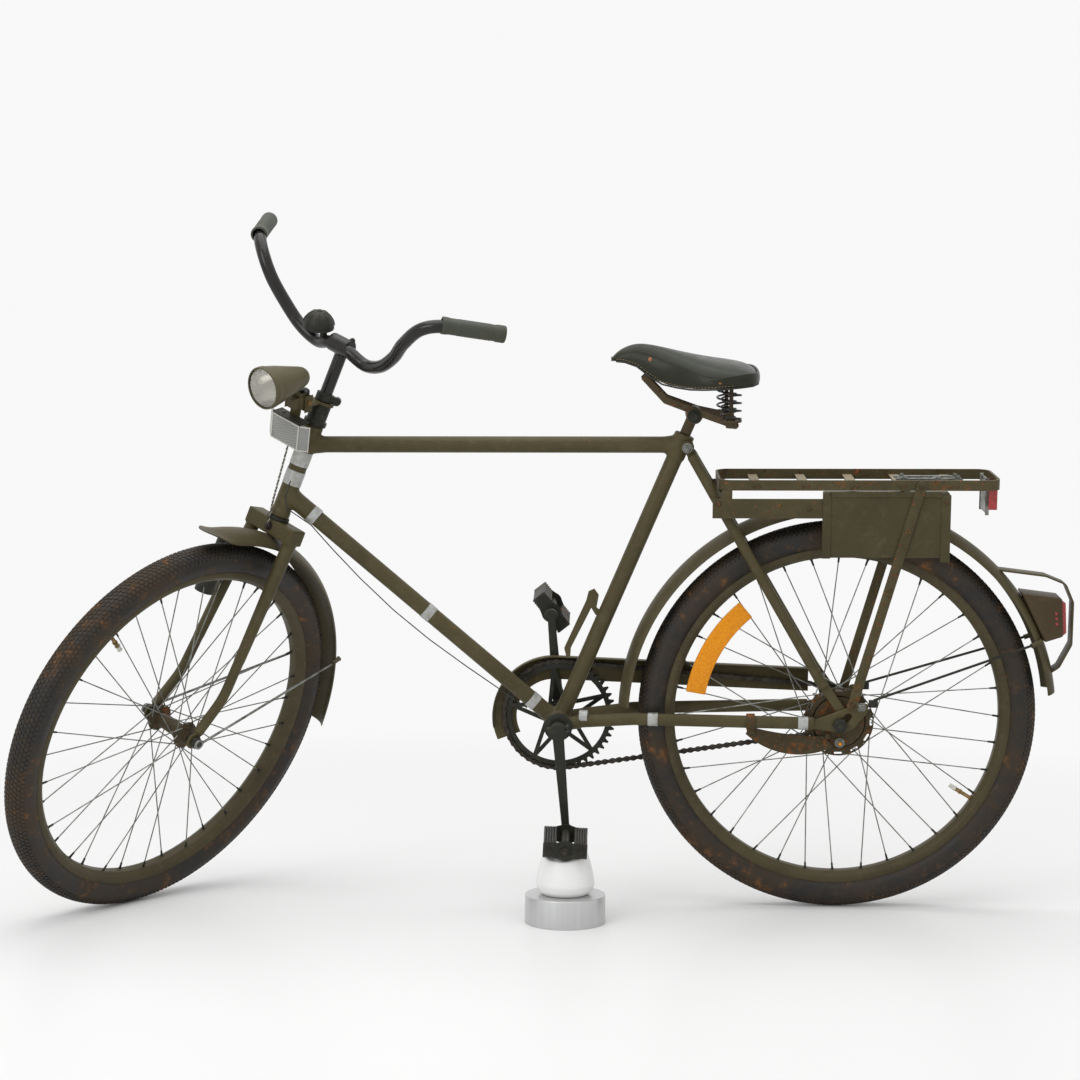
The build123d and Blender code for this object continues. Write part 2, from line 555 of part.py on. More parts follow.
STAY_WIRE = 2.2
rear_wires = []
front_wires = []
for side in SIDES:
    root = rear_hub + Vector(57, side * (DROPOUT_SIDE + DROPOUT_THICK / 2), 43)
    block = Pos(56.2, side * (DROPOUT_SIDE + DROPOUT_THICK / 2), rear_hub.Z + 37) * Box(15, 8, 12)
    rear_wires.append(block + rod(root, guard_rim(rear_hub, 22, side), STAY_WIRE))
    eye_low, eye_high = sorted((side * (FRONT_AXLE_HALF - 4.6), side * (FRONT_AXLE_HALF - 0.6)))
    eye = across(front_hub.X, front_hub.Z, eye_low, eye_high, 9)
    wire = rod(front_hub + Vector(7, (eye_low + eye_high) / 2, 0), guard_rim(front_hub, 3, side), STAY_WIRE)
    front_wires.append(eye + wire - across(front_hub.X, front_hub.Z, eye_low - 5, eye_high + 5, AXLE_RADIUS + SEAT_GAP))
nodes["rear_guard_stays"] = ("frame", Compound(children=rear_wires))
nodes["front_guard_stays"] = ("steering", Compound(children=front_wires))

# Tail lamp on the rear mudguard, and the strip hoop that guards it
LAMP_HALF = 26.0
lamp_outline = polygon([(310, 566), (379, 557), (383, 490), (352, 480)])
guard_disc = Pos(rear_hub.X, rear_hub.Z) * Circle(MUDGUARD_RADIUS + SEAT_GAP)
lamp_foot = polygon([(300, 552), (345, 552), (352, 500), (320, 500)])
tail_lamp = plate(lamp_outline - guard_disc, -LAMP_HALF, LAMP_HALF) + plate(lamp_foot - guard_disc, -12, 12)
nodes["tail_lamp"] = ("frame", tail_lamp)
HOOP_ROUTE = [(258, 606), (352, 594), (386, 580), (400, 548), (400, 474), (380, 434), (356, 418)]
hoop = bent([(x, 0, z) for x, z in HOOP_ROUTE], 12, Rectangle(30, 3))
hoop -= across(rear_hub.X, rear_hub.Z, -40, 40, MUDGUARD_RADIUS + SEAT_GAP)
nodes["tail_lamp_guard"] = ("frame", hoop)

# Rack: a flat strip loop with slats, struts, the front brackets and the tool box
deck_middle = (RACK_FRONT + RACK_REAR) / 2
deck = RectangleRounded(RACK_REAR - RACK_FRONT, 2 * RACK_HALF, 24)
deck -= RectangleRounded(RACK_REAR - RACK_FRONT - 2 * RACK_STRIP, 2 * (RACK_HALF - RACK_STRIP), 24 - RACK_STRIP)
rack = Pos(deck_middle, 0, RACK_LOW) * extrude(deck, RACK_TALL)
SLATS = (-148, -66, 16, 96, 183)
for at in SLATS:
    rack += Pos(at, 0, RACK_LOW + 7) * Box(SLAT_WIDTH, 2 * RACK_HALF - RACK_STRIP, 3)
nodes["rack_deck"] = ("frame", rack)

strut_side = RACK_HALF + SEAT_GAP + 2
for side, name in ((-1, "left"), (1, "right")):
    foot = Vector(20, side * (DROPOUT_SIDE + DROPOUT_THICK + SEAT_GAP + 2), rear_hub.Z + 34)
    head = Vector(128, side * strut_side, RACK_LOW + 8)
    strut = strap(foot, head, 17, 4, (0, 1, 0))
    strut += across(foot.X, foot.Z, foot.Y - 2, foot.Y + 2, 9) + across(head.X, head.Z, head.Y - 2, head.Y + 2, 9)
    nodes["rack_strut_" + name] = ("frame", strut)

box_front = -35.0
box_top = RACK_LOW - 4
box_side = -RACK_HALF + SEAT_GAP
brace_front = -222.0
brace = Pos((brace_front + box_front) / 2, box_side + 2, 719) * Box(box_front - brace_front - SEAT_GAP, 4, 33)
brace_bracket = Pos(RACK_FRONT + 14, box_side + 2, (703 + RACK_LOW) / 2) * Box(18, 4, RACK_LOW - 703 - SEAT_GAP)
stay_outer = 44.6 + STAY_RADIUS + SEAT_GAP
stay_pin = across(-213, 728, box_side + 3, -stay_outer, 6)
right_bracket = Pos(RACK_FRONT + 5, -box_side - 2, (715 + RACK_LOW) / 2) * Box(24, 4, RACK_LOW - 715 - SEAT_GAP)
right_pin = across(-213, 728, stay_outer, -box_side - 3, 6)
nodes["rack_brace"] = ("frame", Compound(children=[brace + brace_bracket + stay_pin, right_bracket + right_pin]))

tool_box = Pos(box_front, box_side, box_top) * Box(BOX_LENGTH, BOX_THICK, BOX_HEIGHT, align=(Align.MIN, Align.MIN, Align.MAX))
nodes["tool_box"] = ("frame", fillet(tool_box.edges().filter_by(Axis.Y), 2))

nodes["rack_clip"] = ("frame", Pos(150, 14, RACK_LOW + 8.5 + SEAT_GAP) * Box(112, 40, 3, align=BASE))
reflector_stand = Pos(RACK_REAR - RACK_STRIP - 14, 0, 735) * Box(3, 60, 62)
nodes["rear_reflector"] = ("frame", reflector_stand + Pos(RACK_REAR - RACK_STRIP - 6.4, 0, 735) * Box(12.2, 84, 40))

# Saddle: post, clamp and bars, rear coil springs and the moulded cover
clamp_at = seat_top + seat_up * 37
saddle_bars = rod(seat_top, clamp_at, 9.5)
saddle_bars += across(clamp_at.X, clamp_at.Z, -27, 27, 14)
for side in SIDES:
    bar_points = [(-338, side * 15, 937.4), (-300, side * 20, 897), (-246, side * 22, 877), (-186, side * 62, 860)]
    for here, there in zip(bar_points, bar_points[1:]):
        facing = Vector(*there) - Vector(*here)
        saddle_bars += strap(here, there, 13, 5, (-facing.Y, facing.X, 0))
        saddle_bars += across(there[0], there[2], there[1] - 2.5, there[1] + 2.5, 6.5)
    saddle_bars += Pos(-193, side * 68, 862) * Cylinder(9, 12) + Pos(-193, side * 68, 868) * Cylinder(18, 4)
nodes["saddle_frame"] = ("frame", saddle_bars)

SPRING_LOW, SPRING_HIGH, SPRING_TURNS = 872.0, 924.5, 4
springs = []
for side in SIDES:
    helix = Helix((SPRING_HIGH - SPRING_LOW) / SPRING_TURNS, SPRING_HIGH - SPRING_LOW, SPRING_RADIUS - SPRING_WIRE / 2)
    wire = Plane(origin=helix @ 0, z_dir=helix % 0) * Rectangle(SPRING_WIRE, SPRING_WIRE)
    springs.append(Pos(-193, side * 68, SPRING_LOW) * sweep(wire, path=helix, is_frenet=True))
nodes["saddle_springs"] = ("frame", Compound(children=springs))

saddle_side = polygon([(-396, 964), (-372, 986), (-348, 991), (-300, 984), (-240, 972), (-182, 966), (-160, 950), (-166, 930),
                       (-290, 922), (-330, 940), (-352, 956), (-384, 962)])
saddle_plan = polygon([(-397, -14), (-340, -27), (-290, -50), (-240, -92), (-205, -98), (-168, -88), (-158, -60),
                       (-158, 60), (-168, 88), (-205, 98), (-240, 92), (-290, 50), (-340, 27), (-397, 14)])
saddle = plate(saddle_side, -SADDLE_WIDTH, SADDLE_WIDTH) & extrude(Pos(0, 0, 900) * saddle_plan, 200)
nodes["saddle_cover"] = ("frame", saddle)

# Fork: steerer, box crown, tapered blades that curve ahead, and the flat fork ends
fork = rod(on_axis(CROWN_LOW + 4), on_axis(HEAD_TOP + 31), STEERER_RADIUS)
crown_plane = Plane(origin=on_axis(CROWN_LOW), x_dir=head_ahead, z_dir=head_up)
fork += crown_plane * Box(CROWN_DEPTH, CROWN_WIDTH, CROWN_HEIGHT, align=BASE)
for side in SIDES:
    knee = on_axis(150, 24, side * (BLADE_SPREAD + 7))
    fork += rod(on_axis(CROWN_LOW + 6, 2, side * BLADE_SPREAD), knee, BLADE_TOP_RADIUS, BLADE_TIP_RADIUS + 1)
    tip = on_axis(14, FORK_OFFSET - 3, side * (FORK_END_SIDE + FORK_END_THICK / 2))
    heading = (knee - on_axis(CROWN_LOW + 6, 2, side * BLADE_SPREAD)).normalized()
    fork += bent([knee, knee + heading * 70, tip], 110, Circle(BLADE_TIP_RADIUS + 0.5))
    end_low, end_high = sorted((side * FORK_END_SIDE, side * (FORK_END_SIDE + FORK_END_THICK)))
    fork += across(front_hub.X, front_hub.Z, end_low, end_high, 15)
    fork -= across(front_hub.X, front_hub.Z, end_low - 20, end_high + 20, AXLE_RADIUS + SEAT_GAP)
nodes["fork"] = ("steering", fork)

front_axle = across(front_hub.X, front_hub.Z, -FRONT_AXLE_HALF, FRONT_AXLE_HALF, AXLE_RADIUS)
for side in SIDES:
    nut = extrude(Plane.XZ * RegularPolygon(11, 6), 8 * -side)
    front_axle += Pos(front_hub.X, side * (FORK_END_SIDE + FORK_END_THICK + SEAT_GAP), front_hub.Z) * nut
    cone_low, cone_high = sorted((side * (46 + RUN_GAP), side * (FORK_END_SIDE - SEAT_GAP)))
    front_axle += across(front_hub.X, front_hub.Z, cone_low, cone_high, 9)
nodes["front_axle"] = ("steering", front_axle)

# Headset rings round the steerer, and the stem with its bar clamp
ring_bore = STEERER_RADIUS + SEAT_GAP
crown_top = CROWN_LOW + CROWN_HEIGHT
lower_ring = rod(on_axis(crown_top + SEAT_GAP), on_axis(HEAD_LOW - SEAT_GAP), 19.5)
upper_cup = rod(on_axis(HEAD_TOP + SEAT_GAP), on_axis(HEAD_TOP + 9), 20) + rod(on_axis(HEAD_TOP + 9), on_axis(HEAD_TOP + 38), 17)
bore = rod(on_axis(CROWN_LOW), on_axis(HEAD_TOP + 60), ring_bore)
nodes["headset"] = ("steering", Compound(children=[lower_ring - bore, upper_cup - bore]))

bar_centre = on_axis(STEM_TOP, STEM_REACH)
stem = rod(on_axis(HEAD_TOP + 31 + SEAT_GAP), on_axis(STEM_TOP - 4), STEM_RADIUS)
stem += across(bar_centre.X, bar_centre.Z, -21, 21, BAR_RADIUS + 5)
stem -= across(bar_centre.X, bar_centre.Z, -30, 30, BAR_RADIUS + SEAT_GAP)
nodes["stem"] = ("steering", stem)

# Handlebar: dips beside the clamp, rises to the shoulders and sweeps back to the grips; (x, z) from the clamp
BAR_DIP = Vector(4, 72, -34)
BAR_SHOULDER = Vector(-12, 197, 127)
BAR_END = Vector(87, 282, 113)
BAR_STRAIGHT = 38.0


def bar_point(offset, side):
    return bar_centre + Vector(offset.X, side * offset.Y, offset.Z)


bar_flat = Vector(0, BAR_STRAIGHT, 0)
bar_half = [bar_flat, BAR_DIP, BAR_SHOULDER, BAR_END]
bar_route = [bar_point(offset, -1) for offset in reversed(bar_half)] + [bar_point(offset, 1) for offset in bar_half]
handlebar = bent(bar_route, [30, 26, 30, 30, 26, 30], Circle(BAR_RADIUS))
nodes["handlebar"] = ("steering", handlebar)

grips = []
for side in SIDES:
    end = bar_point(BAR_END, side)
    run = (bar_point(BAR_SHOULDER, side) - end).normalized()
    sleeve = rod(end - run * 3, end + run * (GRIP_LENGTH - 3), GRIP_RADIUS)
    grips.append(sleeve - rod(end - run * SEAT_GAP, end + run * GRIP_LENGTH, BAR_RADIUS + SEAT_GAP))
nodes["grips"] = ("steering", Compound(children=grips))

bell_at = bar_centre + Vector(-4, 40, 22)
bell = Pos(*bell_at) * (Cylinder(BELL_RADIUS, 10, align=BASE) + Pos(0, 0, 10) * Cone(BELL_RADIUS, 12, 22, align=BASE))
bell += Pos(bell_at.X, 19, bar_centre.Z) * Cylinder(3.5, 26, align=BASE)
bell -= across(bar_centre.X, bar_centre.Z, -60, 120, BAR_RADIUS + 5 + SEAT_GAP)
nodes["bell"] = ("steering", bell)

# Headlamp, its bracket on the headset, and the folded front reflector
lamp_centre = Vector(-980, 0, 953)
lamp_shell = revolve(polygon([(0, 0), (20, 0), (26, 6), (LAMP_RADIUS - 2, LAMP_LENGTH - 14), (LAMP_RADIUS, LAMP_LENGTH - 10),
                              (LAMP_RADIUS, LAMP_LENGTH), (LAMP_RADIUS - 3, LAMP_LENGTH), (LAMP_RADIUS - 3, LAMP_LENGTH - 8),
                              (0, LAMP_LENGTH - 30)]), Axis.Y)
lamp_place = Pos(lamp_centre.X + LAMP_LENGTH / 2, 0, lamp_centre.Z) * Rot(0, 0, 90)
nodes["headlamp_shell"] = ("steering", lamp_place * lamp_shell)
lens = revolve(polygon([(0, LAMP_LENGTH - 2), (0, LAMP_LENGTH + 3), (20, LAMP_LENGTH + 1), (LAMP_RADIUS - 3 - SEAT_GAP, LAMP_LENGTH - 3),
                        (LAMP_RADIUS - 3 - SEAT_GAP, LAMP_LENGTH - 7)]), Axis.Y)
nodes["headlamp_lens"] = ("steering", lamp_place * lens)

bracket_ring = rod(on_axis(HEAD_TOP + 38 + SEAT_GAP), on_axis(HEAD_TOP + 43), 20)
bracket_ring -= rod(on_axis(HEAD_TOP), on_axis(HEAD_TOP + 60), STEM_RADIUS + SEAT_GAP)
ring_front = on_axis(HEAD_TOP + 41, 18)
lamp_bracket = bracket_ring + strap(ring_front, (-948, 0, 900), 22, 4, (0.4, 0, 1))
lamp_bracket += strap((-948, 0, 898), (-948, 0, lamp_centre.Z - 27), 22, 4, (1, 0, 0))
lamp_bracket += strap((-946, 0, 900), (-954, 0, 846), 22, 3, (1, 0, 0.1))
nodes["lamp_bracket"] = ("steering", lamp_bracket - lamp_place * lamp_shell)

reflector_at = Vector(-959, 0, 858)
reflector_face = polygon([(-10, -32), (-10, 32), (2, 48), (2, 44), (-1.5, 31), (-1.5, -31), (2, -44), (2, -48)])
front_reflector = Pos(reflector_at.X, 0, reflector_at.Z - 23) * extrude(reflector_face, 46)
front_reflector += Pos(-958, 0, 862) * Box(6.4, 16, 16)
nodes["front_reflector"] = ("steering", front_reflector)

# Bottle dynamo on the right blade, its roller beside the tyre, and the twisted lead up to the lamp
DYNAMO_AHEAD, DYNAMO_SIDE = 60.0, 47.0
dynamo = rod(on_axis(236, DYNAMO_AHEAD, DYNAMO_SIDE), on_axis(312, DYNAMO_AHEAD, DYNAMO_SIDE), 17)
dynamo += rod(on_axis(312, DYNAMO_AHEAD, DYNAMO_SIDE), on_axis(322, DYNAMO_AHEAD, DYNAMO_SIDE), 8)
dynamo += rod(on_axis(322, DYNAMO_AHEAD, DYNAMO_SIDE), on_axis(340, DYNAMO_AHEAD, DYNAMO_SIDE), 10.5)
dynamo += strap(on_axis(270, 10 + BLADE_TOP_RADIUS, BLADE_SPREAD + 4), on_axis(270, DYNAMO_AHEAD - 10, DYNAMO_SIDE), 24, 5, (0, 1, 0))
nodes["dynamo"] = ("steering", dynamo - fork)
lead_foot = on_axis(CROWN_LOW + 12, CROWN_DEPTH / 2 + 2.2)
lead_middle = on_axis(crown_top + 34, CROWN_DEPTH / 2 + 13)
nodes["dynamo_lead"] = ("steering", bent([lead_foot, lead_middle, (-954.2, 0, 845.4)], 150, Circle(1.8)))

# Thin lead that hangs loose below the down tube, from the head lug to the bracket; (along the tube, below it)
LEAD_DROPS = [(66, 16), (120, 24), (190, 32), (270, 37), (350, 36), (430, 30), (500, 23), (558, 17)]
tube_below = Vector(down_run.Z, 0, -down_run.X)
lead_route = [down_joint + down_run * along + tube_below * below for along, below in LEAD_DROPS]
nodes["tail_lead"] = ("frame", bent(lead_route, 150, Circle(1.0)))

# How it stands: turn the bars, then pitch and lean the whole so that both tyres touch the floor
steering_axis = Axis(axis_foot, head_up)
tyre_rings = ((TYRE_RADIUS, TREAD_WIDTH / 2), (RIM_RADIUS + 33, TYRE_WIDTH / 2 - 4), (RIM_RADIUS + 16, TYRE_WIDTH / 2))


def reach_down(normal):
    """How far below its hub a tyre reaches when its axle points along normal."""
    flat = math.sqrt(1 - normal.Z ** 2)
    return max(radius * flat + side * abs(normal.Z) for radius, side in tyre_rings)


def settled(point, pitch):
    """A point of the upright bicycle after pitch and lean about the rear hub."""
    return (point - rear_hub).rotate(Axis.Y, pitch).rotate(Axis.X, LEAN)


def turned_by_bars(point):
    arm = point - axis_foot
    return axis_foot + arm.rotate(Axis((0, 0, 0), head_up), STEER_TURN)


def front_gap(pitch):
    """Height of the front tyre above the rear tyre's floor."""
    hub = settled(turned_by_bars(front_hub), pitch)
    side = settled(turned_by_bars(front_hub + Vector(0, 1, 0)), pitch) - hub
    rear_side = Vector(0, 1, 0).rotate(Axis.X, LEAN)
    return hub.Z + reach_down(rear_side) - reach_down(side)


pitch_low, pitch_high = -3.0, 3.0
for step in range(40):
    pitch_middle = (pitch_low + pitch_high) / 2
    if front_gap(pitch_middle) * front_gap(pitch_low) > 0:
        pitch_low = pitch_middle
    else:
        pitch_high = pitch_middle
pitch = (pitch_low + pitch_high) / 2
stand_height = reach_down(Vector(0, 1, 0).rotate(Axis.X, LEAN))


def place(point):
    return settled(point, pitch) + Vector(0, 0, stand_height)


def stand(shape):
    moved = Pos(-rear_hub.X, -rear_hub.Y, -rear_hub.Z) * shape
    return Pos(0, 0, stand_height) * moved.rotate(Axis.Y, pitch).rotate(Axis.X, LEAN)


standing = {}
for name, (body, shape) in nodes.items():
    if body in ("steering", "front_wheel"):
        shape = shape.rotate(steering_axis, STEER_TURN)
    standing[name] = stand(shape)

# Plinth: a turned metal puck, and putty on it pressed to the sweep of the left pedal
pedal_middle = place(left_eye + Vector(0, -crank_outer - PEDAL_SPINDLE - PEDAL_LENGTH / 2, 0))
puck_at = Pos(pedal_middle.X, pedal_middle.Y, 0)
standing["plinth_puck"] = puck_at * Cylinder(PUCK_RADIUS, PUCK_HEIGHT, align=BASE)
block_corner = Vector(PEDAL_SPREAD + PEDAL_BLOCK_WIDE / 2 - PEDAL_BLOCK_ROUND, 0, PEDAL_BLOCK_ROUND - PEDAL_BLOCK_TALL / 2)
pedal_reach = (crank_down + block_corner.rotate(Axis.Y, LEFT_PEDAL_TILT)).length + PEDAL_BLOCK_ROUND
pedal_sweep = rod(place(bracket + Vector(0, 60, 0)), place(bracket - Vector(0, 320, 0)), pedal_reach + RUN_GAP)
putty_low = PUCK_HEIGHT + SEAT_GAP
PUTTY_PROFILE = [(-12, 0), (-3, 7), (0, 18), (-2, 34), (-6, 52), (-11, 68), (-15, 77), (-25, 84)]
putty_points = [(PUTTY_RADIUS + inset, putty_low + height) for inset, height in PUTTY_PROFILE]
putty = revolve(polygon([(0, putty_low)] + putty_points + [(0, putty_points[-1][1])]), Axis.Y)
standing["plinth_putty"] = puck_at * Rot(90, 0, 0) * putty - pedal_sweep

# Origin at the middle of the footprint, on the floor
box = Compound(children=[Compound(shape.solids()) for shape in standing.values()]).bounding_box()
shift = Vector(-(box.min.X + box.max.X) / 2, -(box.min.Y + box.max.Y) / 2, -box.min.Z)

os.makedirs("parts", exist_ok=True)
for name, shape in standing.items():
    export_step(Pos(*shift) * Compound(shape.solids()), f"parts/{name}.step")


# Joint axes and reference points in the finished frame
def report(label, point, toward=None):
    here = place(point) + shift
    line = f"{label}: {here.X:.3f} {here.Y:.3f} {here.Z:.3f}"
    if toward is not None:
        way = (place(point + toward) - place(point)).normalized()
        line += f" axis {way.X:.6f} {way.Y:.6f} {way.Z:.6f}"
    print(line)


report("steering_turn", axis_foot, head_up)
front_turned = turned_by_bars(front_hub)
report("front_wheel_spin", front_turned, turned_by_bars(front_hub + Vector(0, 1, 0)) - front_turned)
report("rear_wheel_spin", rear_hub, Vector(0, 1, 0))
report("crank_spin", bracket, Vector(0, 1, 0))
report("right_pedal_spin", right_eye, Vector(0, 1, 0))
report("rear_axle_right_end", rear_hub + Vector(0, REAR_AXLE_HALF, 0), Vector(0, 1, 0))
report("rear_axle_left_end", rear_hub - Vector(0, REAR_AXLE_HALF, 0), Vector(0, -1, 0))
report("rack_slat_top", Vector(SLATS[2], 0, RACK_LOW + 8.5), Vector(0, 0, 1))
print(f"plinth_foot: {pedal_middle.X + shift.X:.3f} {pedal_middle.Y + shift.Y:.3f} 0.000")
print(f"pitch {pitch:.4f} shift {shift.X:.3f} {shift.Y:.3f} {shift.Z:.3f}")
print(f"size {box.size.X:.1f} {box.size.Y:.1f} {box.size.Z:.1f} nodes {len(standing)} links {len(links)}")
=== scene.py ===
import json
import math
import bmesh
import bpy
from mathutils import Matrix, Vector

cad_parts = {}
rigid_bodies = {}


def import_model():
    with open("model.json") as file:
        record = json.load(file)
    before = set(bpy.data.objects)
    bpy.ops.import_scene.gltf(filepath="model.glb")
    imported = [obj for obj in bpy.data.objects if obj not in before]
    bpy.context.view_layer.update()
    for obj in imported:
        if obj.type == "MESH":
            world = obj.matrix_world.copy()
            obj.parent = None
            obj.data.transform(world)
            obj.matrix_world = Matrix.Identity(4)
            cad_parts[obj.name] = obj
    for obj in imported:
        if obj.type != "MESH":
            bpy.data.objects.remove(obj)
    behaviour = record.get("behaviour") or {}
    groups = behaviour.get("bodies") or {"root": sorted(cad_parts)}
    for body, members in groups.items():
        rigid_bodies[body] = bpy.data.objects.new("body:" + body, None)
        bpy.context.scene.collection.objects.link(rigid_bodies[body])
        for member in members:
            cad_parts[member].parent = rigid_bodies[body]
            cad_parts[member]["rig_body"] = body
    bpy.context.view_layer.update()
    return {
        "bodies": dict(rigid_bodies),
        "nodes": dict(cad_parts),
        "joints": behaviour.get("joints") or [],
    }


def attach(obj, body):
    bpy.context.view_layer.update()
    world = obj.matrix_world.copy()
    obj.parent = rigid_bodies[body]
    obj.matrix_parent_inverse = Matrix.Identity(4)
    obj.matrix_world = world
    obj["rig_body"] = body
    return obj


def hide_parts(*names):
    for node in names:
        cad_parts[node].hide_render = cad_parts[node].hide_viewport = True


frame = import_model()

# Stance: the bicycle stands on both tyres and leans on its left pedal, with the bars turned to the left.
# Each piece is drawn upright and straight ahead in millimetres, with the rear hub over the origin, +X to the
# rear, +Y to the rider's right and +Z up, and is then set into the stance of the body that carries it.
MM = 0.001
TYRE_RADIUS = 344.0
REAR_HUB = Vector((0, 0, TYRE_RADIUS))
FRONT_HUB = Vector((-1176.0, 0, TYRE_RADIUS))
BRACKET = Vector((-483.0, 0, 330.0))
SIDES = (-1, 1)
joints = {row["name"]: row for row in frame["joints"]}
hub_at, crank_at, head_at = (Vector(joints[name]["pos_m"])
                             for name in ("rear_wheel_spin", "crank_spin", "steering_turn"))
axle_way, head_way, front_way = (Vector(joints[name]["axis"])
                                 for name in ("rear_wheel_spin", "steering_turn", "front_wheel_spin"))
rise = math.atan2(TYRE_RADIUS - BRACKET.z, -BRACKET.x)
run = (hub_at - crank_at).normalized()
lift = run.cross(axle_way)
back_way = run * math.cos(rise) - lift * math.sin(rise)
up_way = run * math.sin(rise) + lift * math.cos(rise)
UPRIGHT = Matrix((back_way, axle_way, up_way)).transposed().to_4x4()
UPRIGHT.translation = hub_at - up_way * TYRE_RADIUS * MM
UPRIGHT = UPRIGHT @ Matrix.Scale(MM, 4)
steer = math.atan2(head_way.dot(axle_way.cross(front_way)), axle_way.dot(front_way))
STEERED = (Matrix.Translation(head_at) @ Matrix.Rotation(steer, 4, head_way)
           @ Matrix.Translation(-head_at) @ UPRIGHT)
PLACE = {body: STEERED if body in ("steering", "front_wheel") else UPRIGHT for body in frame["bodies"]}


# Camera: a long lens at chest height, square to the bicycle's left side and tipped a little down. Its place
# is counted from the rear hub.
def linked(name, data):
    """An object of some data, linked to the scene."""
    thing = bpy.data.objects.new(name, data)
    bpy.context.scene.collection.objects.link(thing)
    return thing


CAMERA_FROM_HUB = Vector((-0.42417, -3.9145))
CAMERA_HEIGHT = 0.8599
CAMERA_LENS, CAMERA_SENSOR = 75.18, 36.0
camera_right = Vector((0.9997, 0.0237, 0.0035))
camera_ahead = Vector((-0.0235, 0.9982, -0.0548))
camera_data = bpy.data.cameras.new("camera")
camera_data.lens = CAMERA_LENS
camera_data.sensor_width = CAMERA_SENSOR
camera = linked("camera", camera_data)
camera_top = camera_right.cross(camera_ahead)
camera.matrix_world = Matrix((camera_right, camera_top, -camera_ahead)).transposed().to_4x4()
camera.location = (hub_at.x + CAMERA_FROM_HUB.x, hub_at.y + CAMERA_FROM_HUB.y, CAMERA_HEIGHT)
bpy.context.scene.camera = camera
bpy.context.scene.view_settings.view_transform = "Standard"


# Floor and light: a pale seamless studio sweep, with one broad soft light overhead and a weaker one from the
# viewer's left. Far from the bicycle the floor fades into the colour of the background.
def feed(tree, socket, value):
    """Gives a socket a value, or links it to another node's output."""
    if isinstance(value, bpy.types.NodeSocket):
        tree.links.new(value, socket)
    else:
        socket.default_value = value


def add(tree, kind, settings=None, **inputs):
    """Adds a node; an input is a value or another node's output, with _ for a space in its name."""
    node = tree.nodes.new(kind)
    for key, value in (settings or {}).items():
        setattr(node, key, value)
    for key, value in inputs.items():
        feed(tree, node.inputs[key.replace("_", " ")], value)
    return node


def calc(tree, operation, *values):
    """A Math node on values or outputs; hands back its output."""
    node = add(tree, "ShaderNodeMath", {"operation": operation})
    for socket, value in zip(node.inputs, values):
        feed(tree, socket, value)
    return node.outputs[0]


def spread(tree, value, low, high, to_low=0.0, to_high=1.0):
    """Stretches a value from low..high to to_low..to_high, held at both ends."""
    return add(tree, "ShaderNodeMapRange", None, Value=value, From_Min=low, From_Max=high,
               To_Min=to_low, To_Max=to_high).outputs[0]


def mixed(tree, share, first, second):
    """Mixes two shaders by a share; hands back the mix."""
    node = add(tree, "ShaderNodeMixShader", None, Fac=share)
    for place, shader in ((1, first), (2, second)):
        tree.links.new(shader.outputs[0], node.inputs[place])
    return node.outputs[0]


def own(tree):
    """The piece's own coordinates."""
    return add(tree, "ShaderNodeTexCoord").outputs["Object"]


def bare_look(name, **fixed):
    """A new material and its Principled shader, with the values that are the same all over it."""
    look = bpy.data.materials.new(name)
    look.use_nodes = True
    shader = look.node_tree.nodes["Principled BSDF"]
    for key, value in fixed.items():
        shader.inputs[key.replace("_", " ")].default_value = value
    return look, look.node_tree, shader


BACKGROUND = (0.943, 0.943, 0.943, 1)
FLOOR_COLOUR = (0.90, 0.90, 0.897, 1)
FLOOR_HALF, FADE_FROM, FADE_TO = 9.0, 0.75, 2.3
AMBIENT = 0.62
world = bpy.data.worlds.new("studio")
world.use_nodes = True
bpy.context.scene.world = world
sky = world.node_tree
sky.nodes.clear()
ray = add(sky, "ShaderNodeLightPath").outputs
seen = calc(sky, "MAXIMUM", calc(sky, "MAXIMUM", ray["Is Camera Ray"], ray["Is Glossy Ray"]),
            ray["Is Transmission Ray"])
lit = add(sky, "ShaderNodeBackground", None, Color=(1, 1, 1, 1), Strength=AMBIENT)
shown = add(sky, "ShaderNodeBackground", None, Color=BACKGROUND, Strength=1.0)
add(sky, "ShaderNodeOutputWorld", None, Surface=mixed(sky, seen, lit, shown))

# Lamp, place, target, side of the square, watts
for lamp_name, lamp_at, lamp_to, lamp_side, watts in (
        ("overhead", (0.0, -0.3, 3.4), (0.0, 0.0, 0.4), 3.4, 62.0),
        ("left_fill", (-2.6, -3.6, 2.2), (-0.2, 0.0, 0.5), 2.2, 46.0)):
    lamp_data = bpy.data.lights.new(lamp_name, "AREA")
    lamp_data.size = lamp_side
    lamp_data.energy = watts
    lamp = linked(lamp_name, lamp_data)
    lamp.location = lamp_at
    lamp.rotation_euler = (Vector(lamp_to) - Vector(lamp_at)).to_track_quat("-Z", "Y").to_euler()

floor_look, tree, shader = bare_look("studio_floor", Base_Color=FLOOR_COLOUR, Roughness=0.40,
                                     Specular_IOR_Level=0.08)
away = add(tree, "ShaderNodeVectorMath", {"operation": "LENGTH"}, Vector=own(tree)).outputs["Value"]
fade = calc(tree, "MULTIPLY", spread(tree, away, FADE_FROM, FADE_TO),
            add(tree, "ShaderNodeLightPath").outputs["Is Camera Ray"])
glow = add(tree, "ShaderNodeEmission", None, Color=BACKGROUND, Strength=1.0)
feed(tree, tree.nodes["Material Output"].inputs["Surface"], mixed(tree, fade, shader, glow))
floor_mesh = bpy.data.meshes.new("floor")
floor_mesh.from_pydata([(x * FLOOR_HALF, y * FLOOR_HALF, 0) for x, y in ((-1, -1), (1, -1), (1, 1), (-1, 1))],
                       [], [(0, 1, 2, 3)])
floor_mesh.materials.append(floor_look)
floor = linked("floor", floor_mesh)


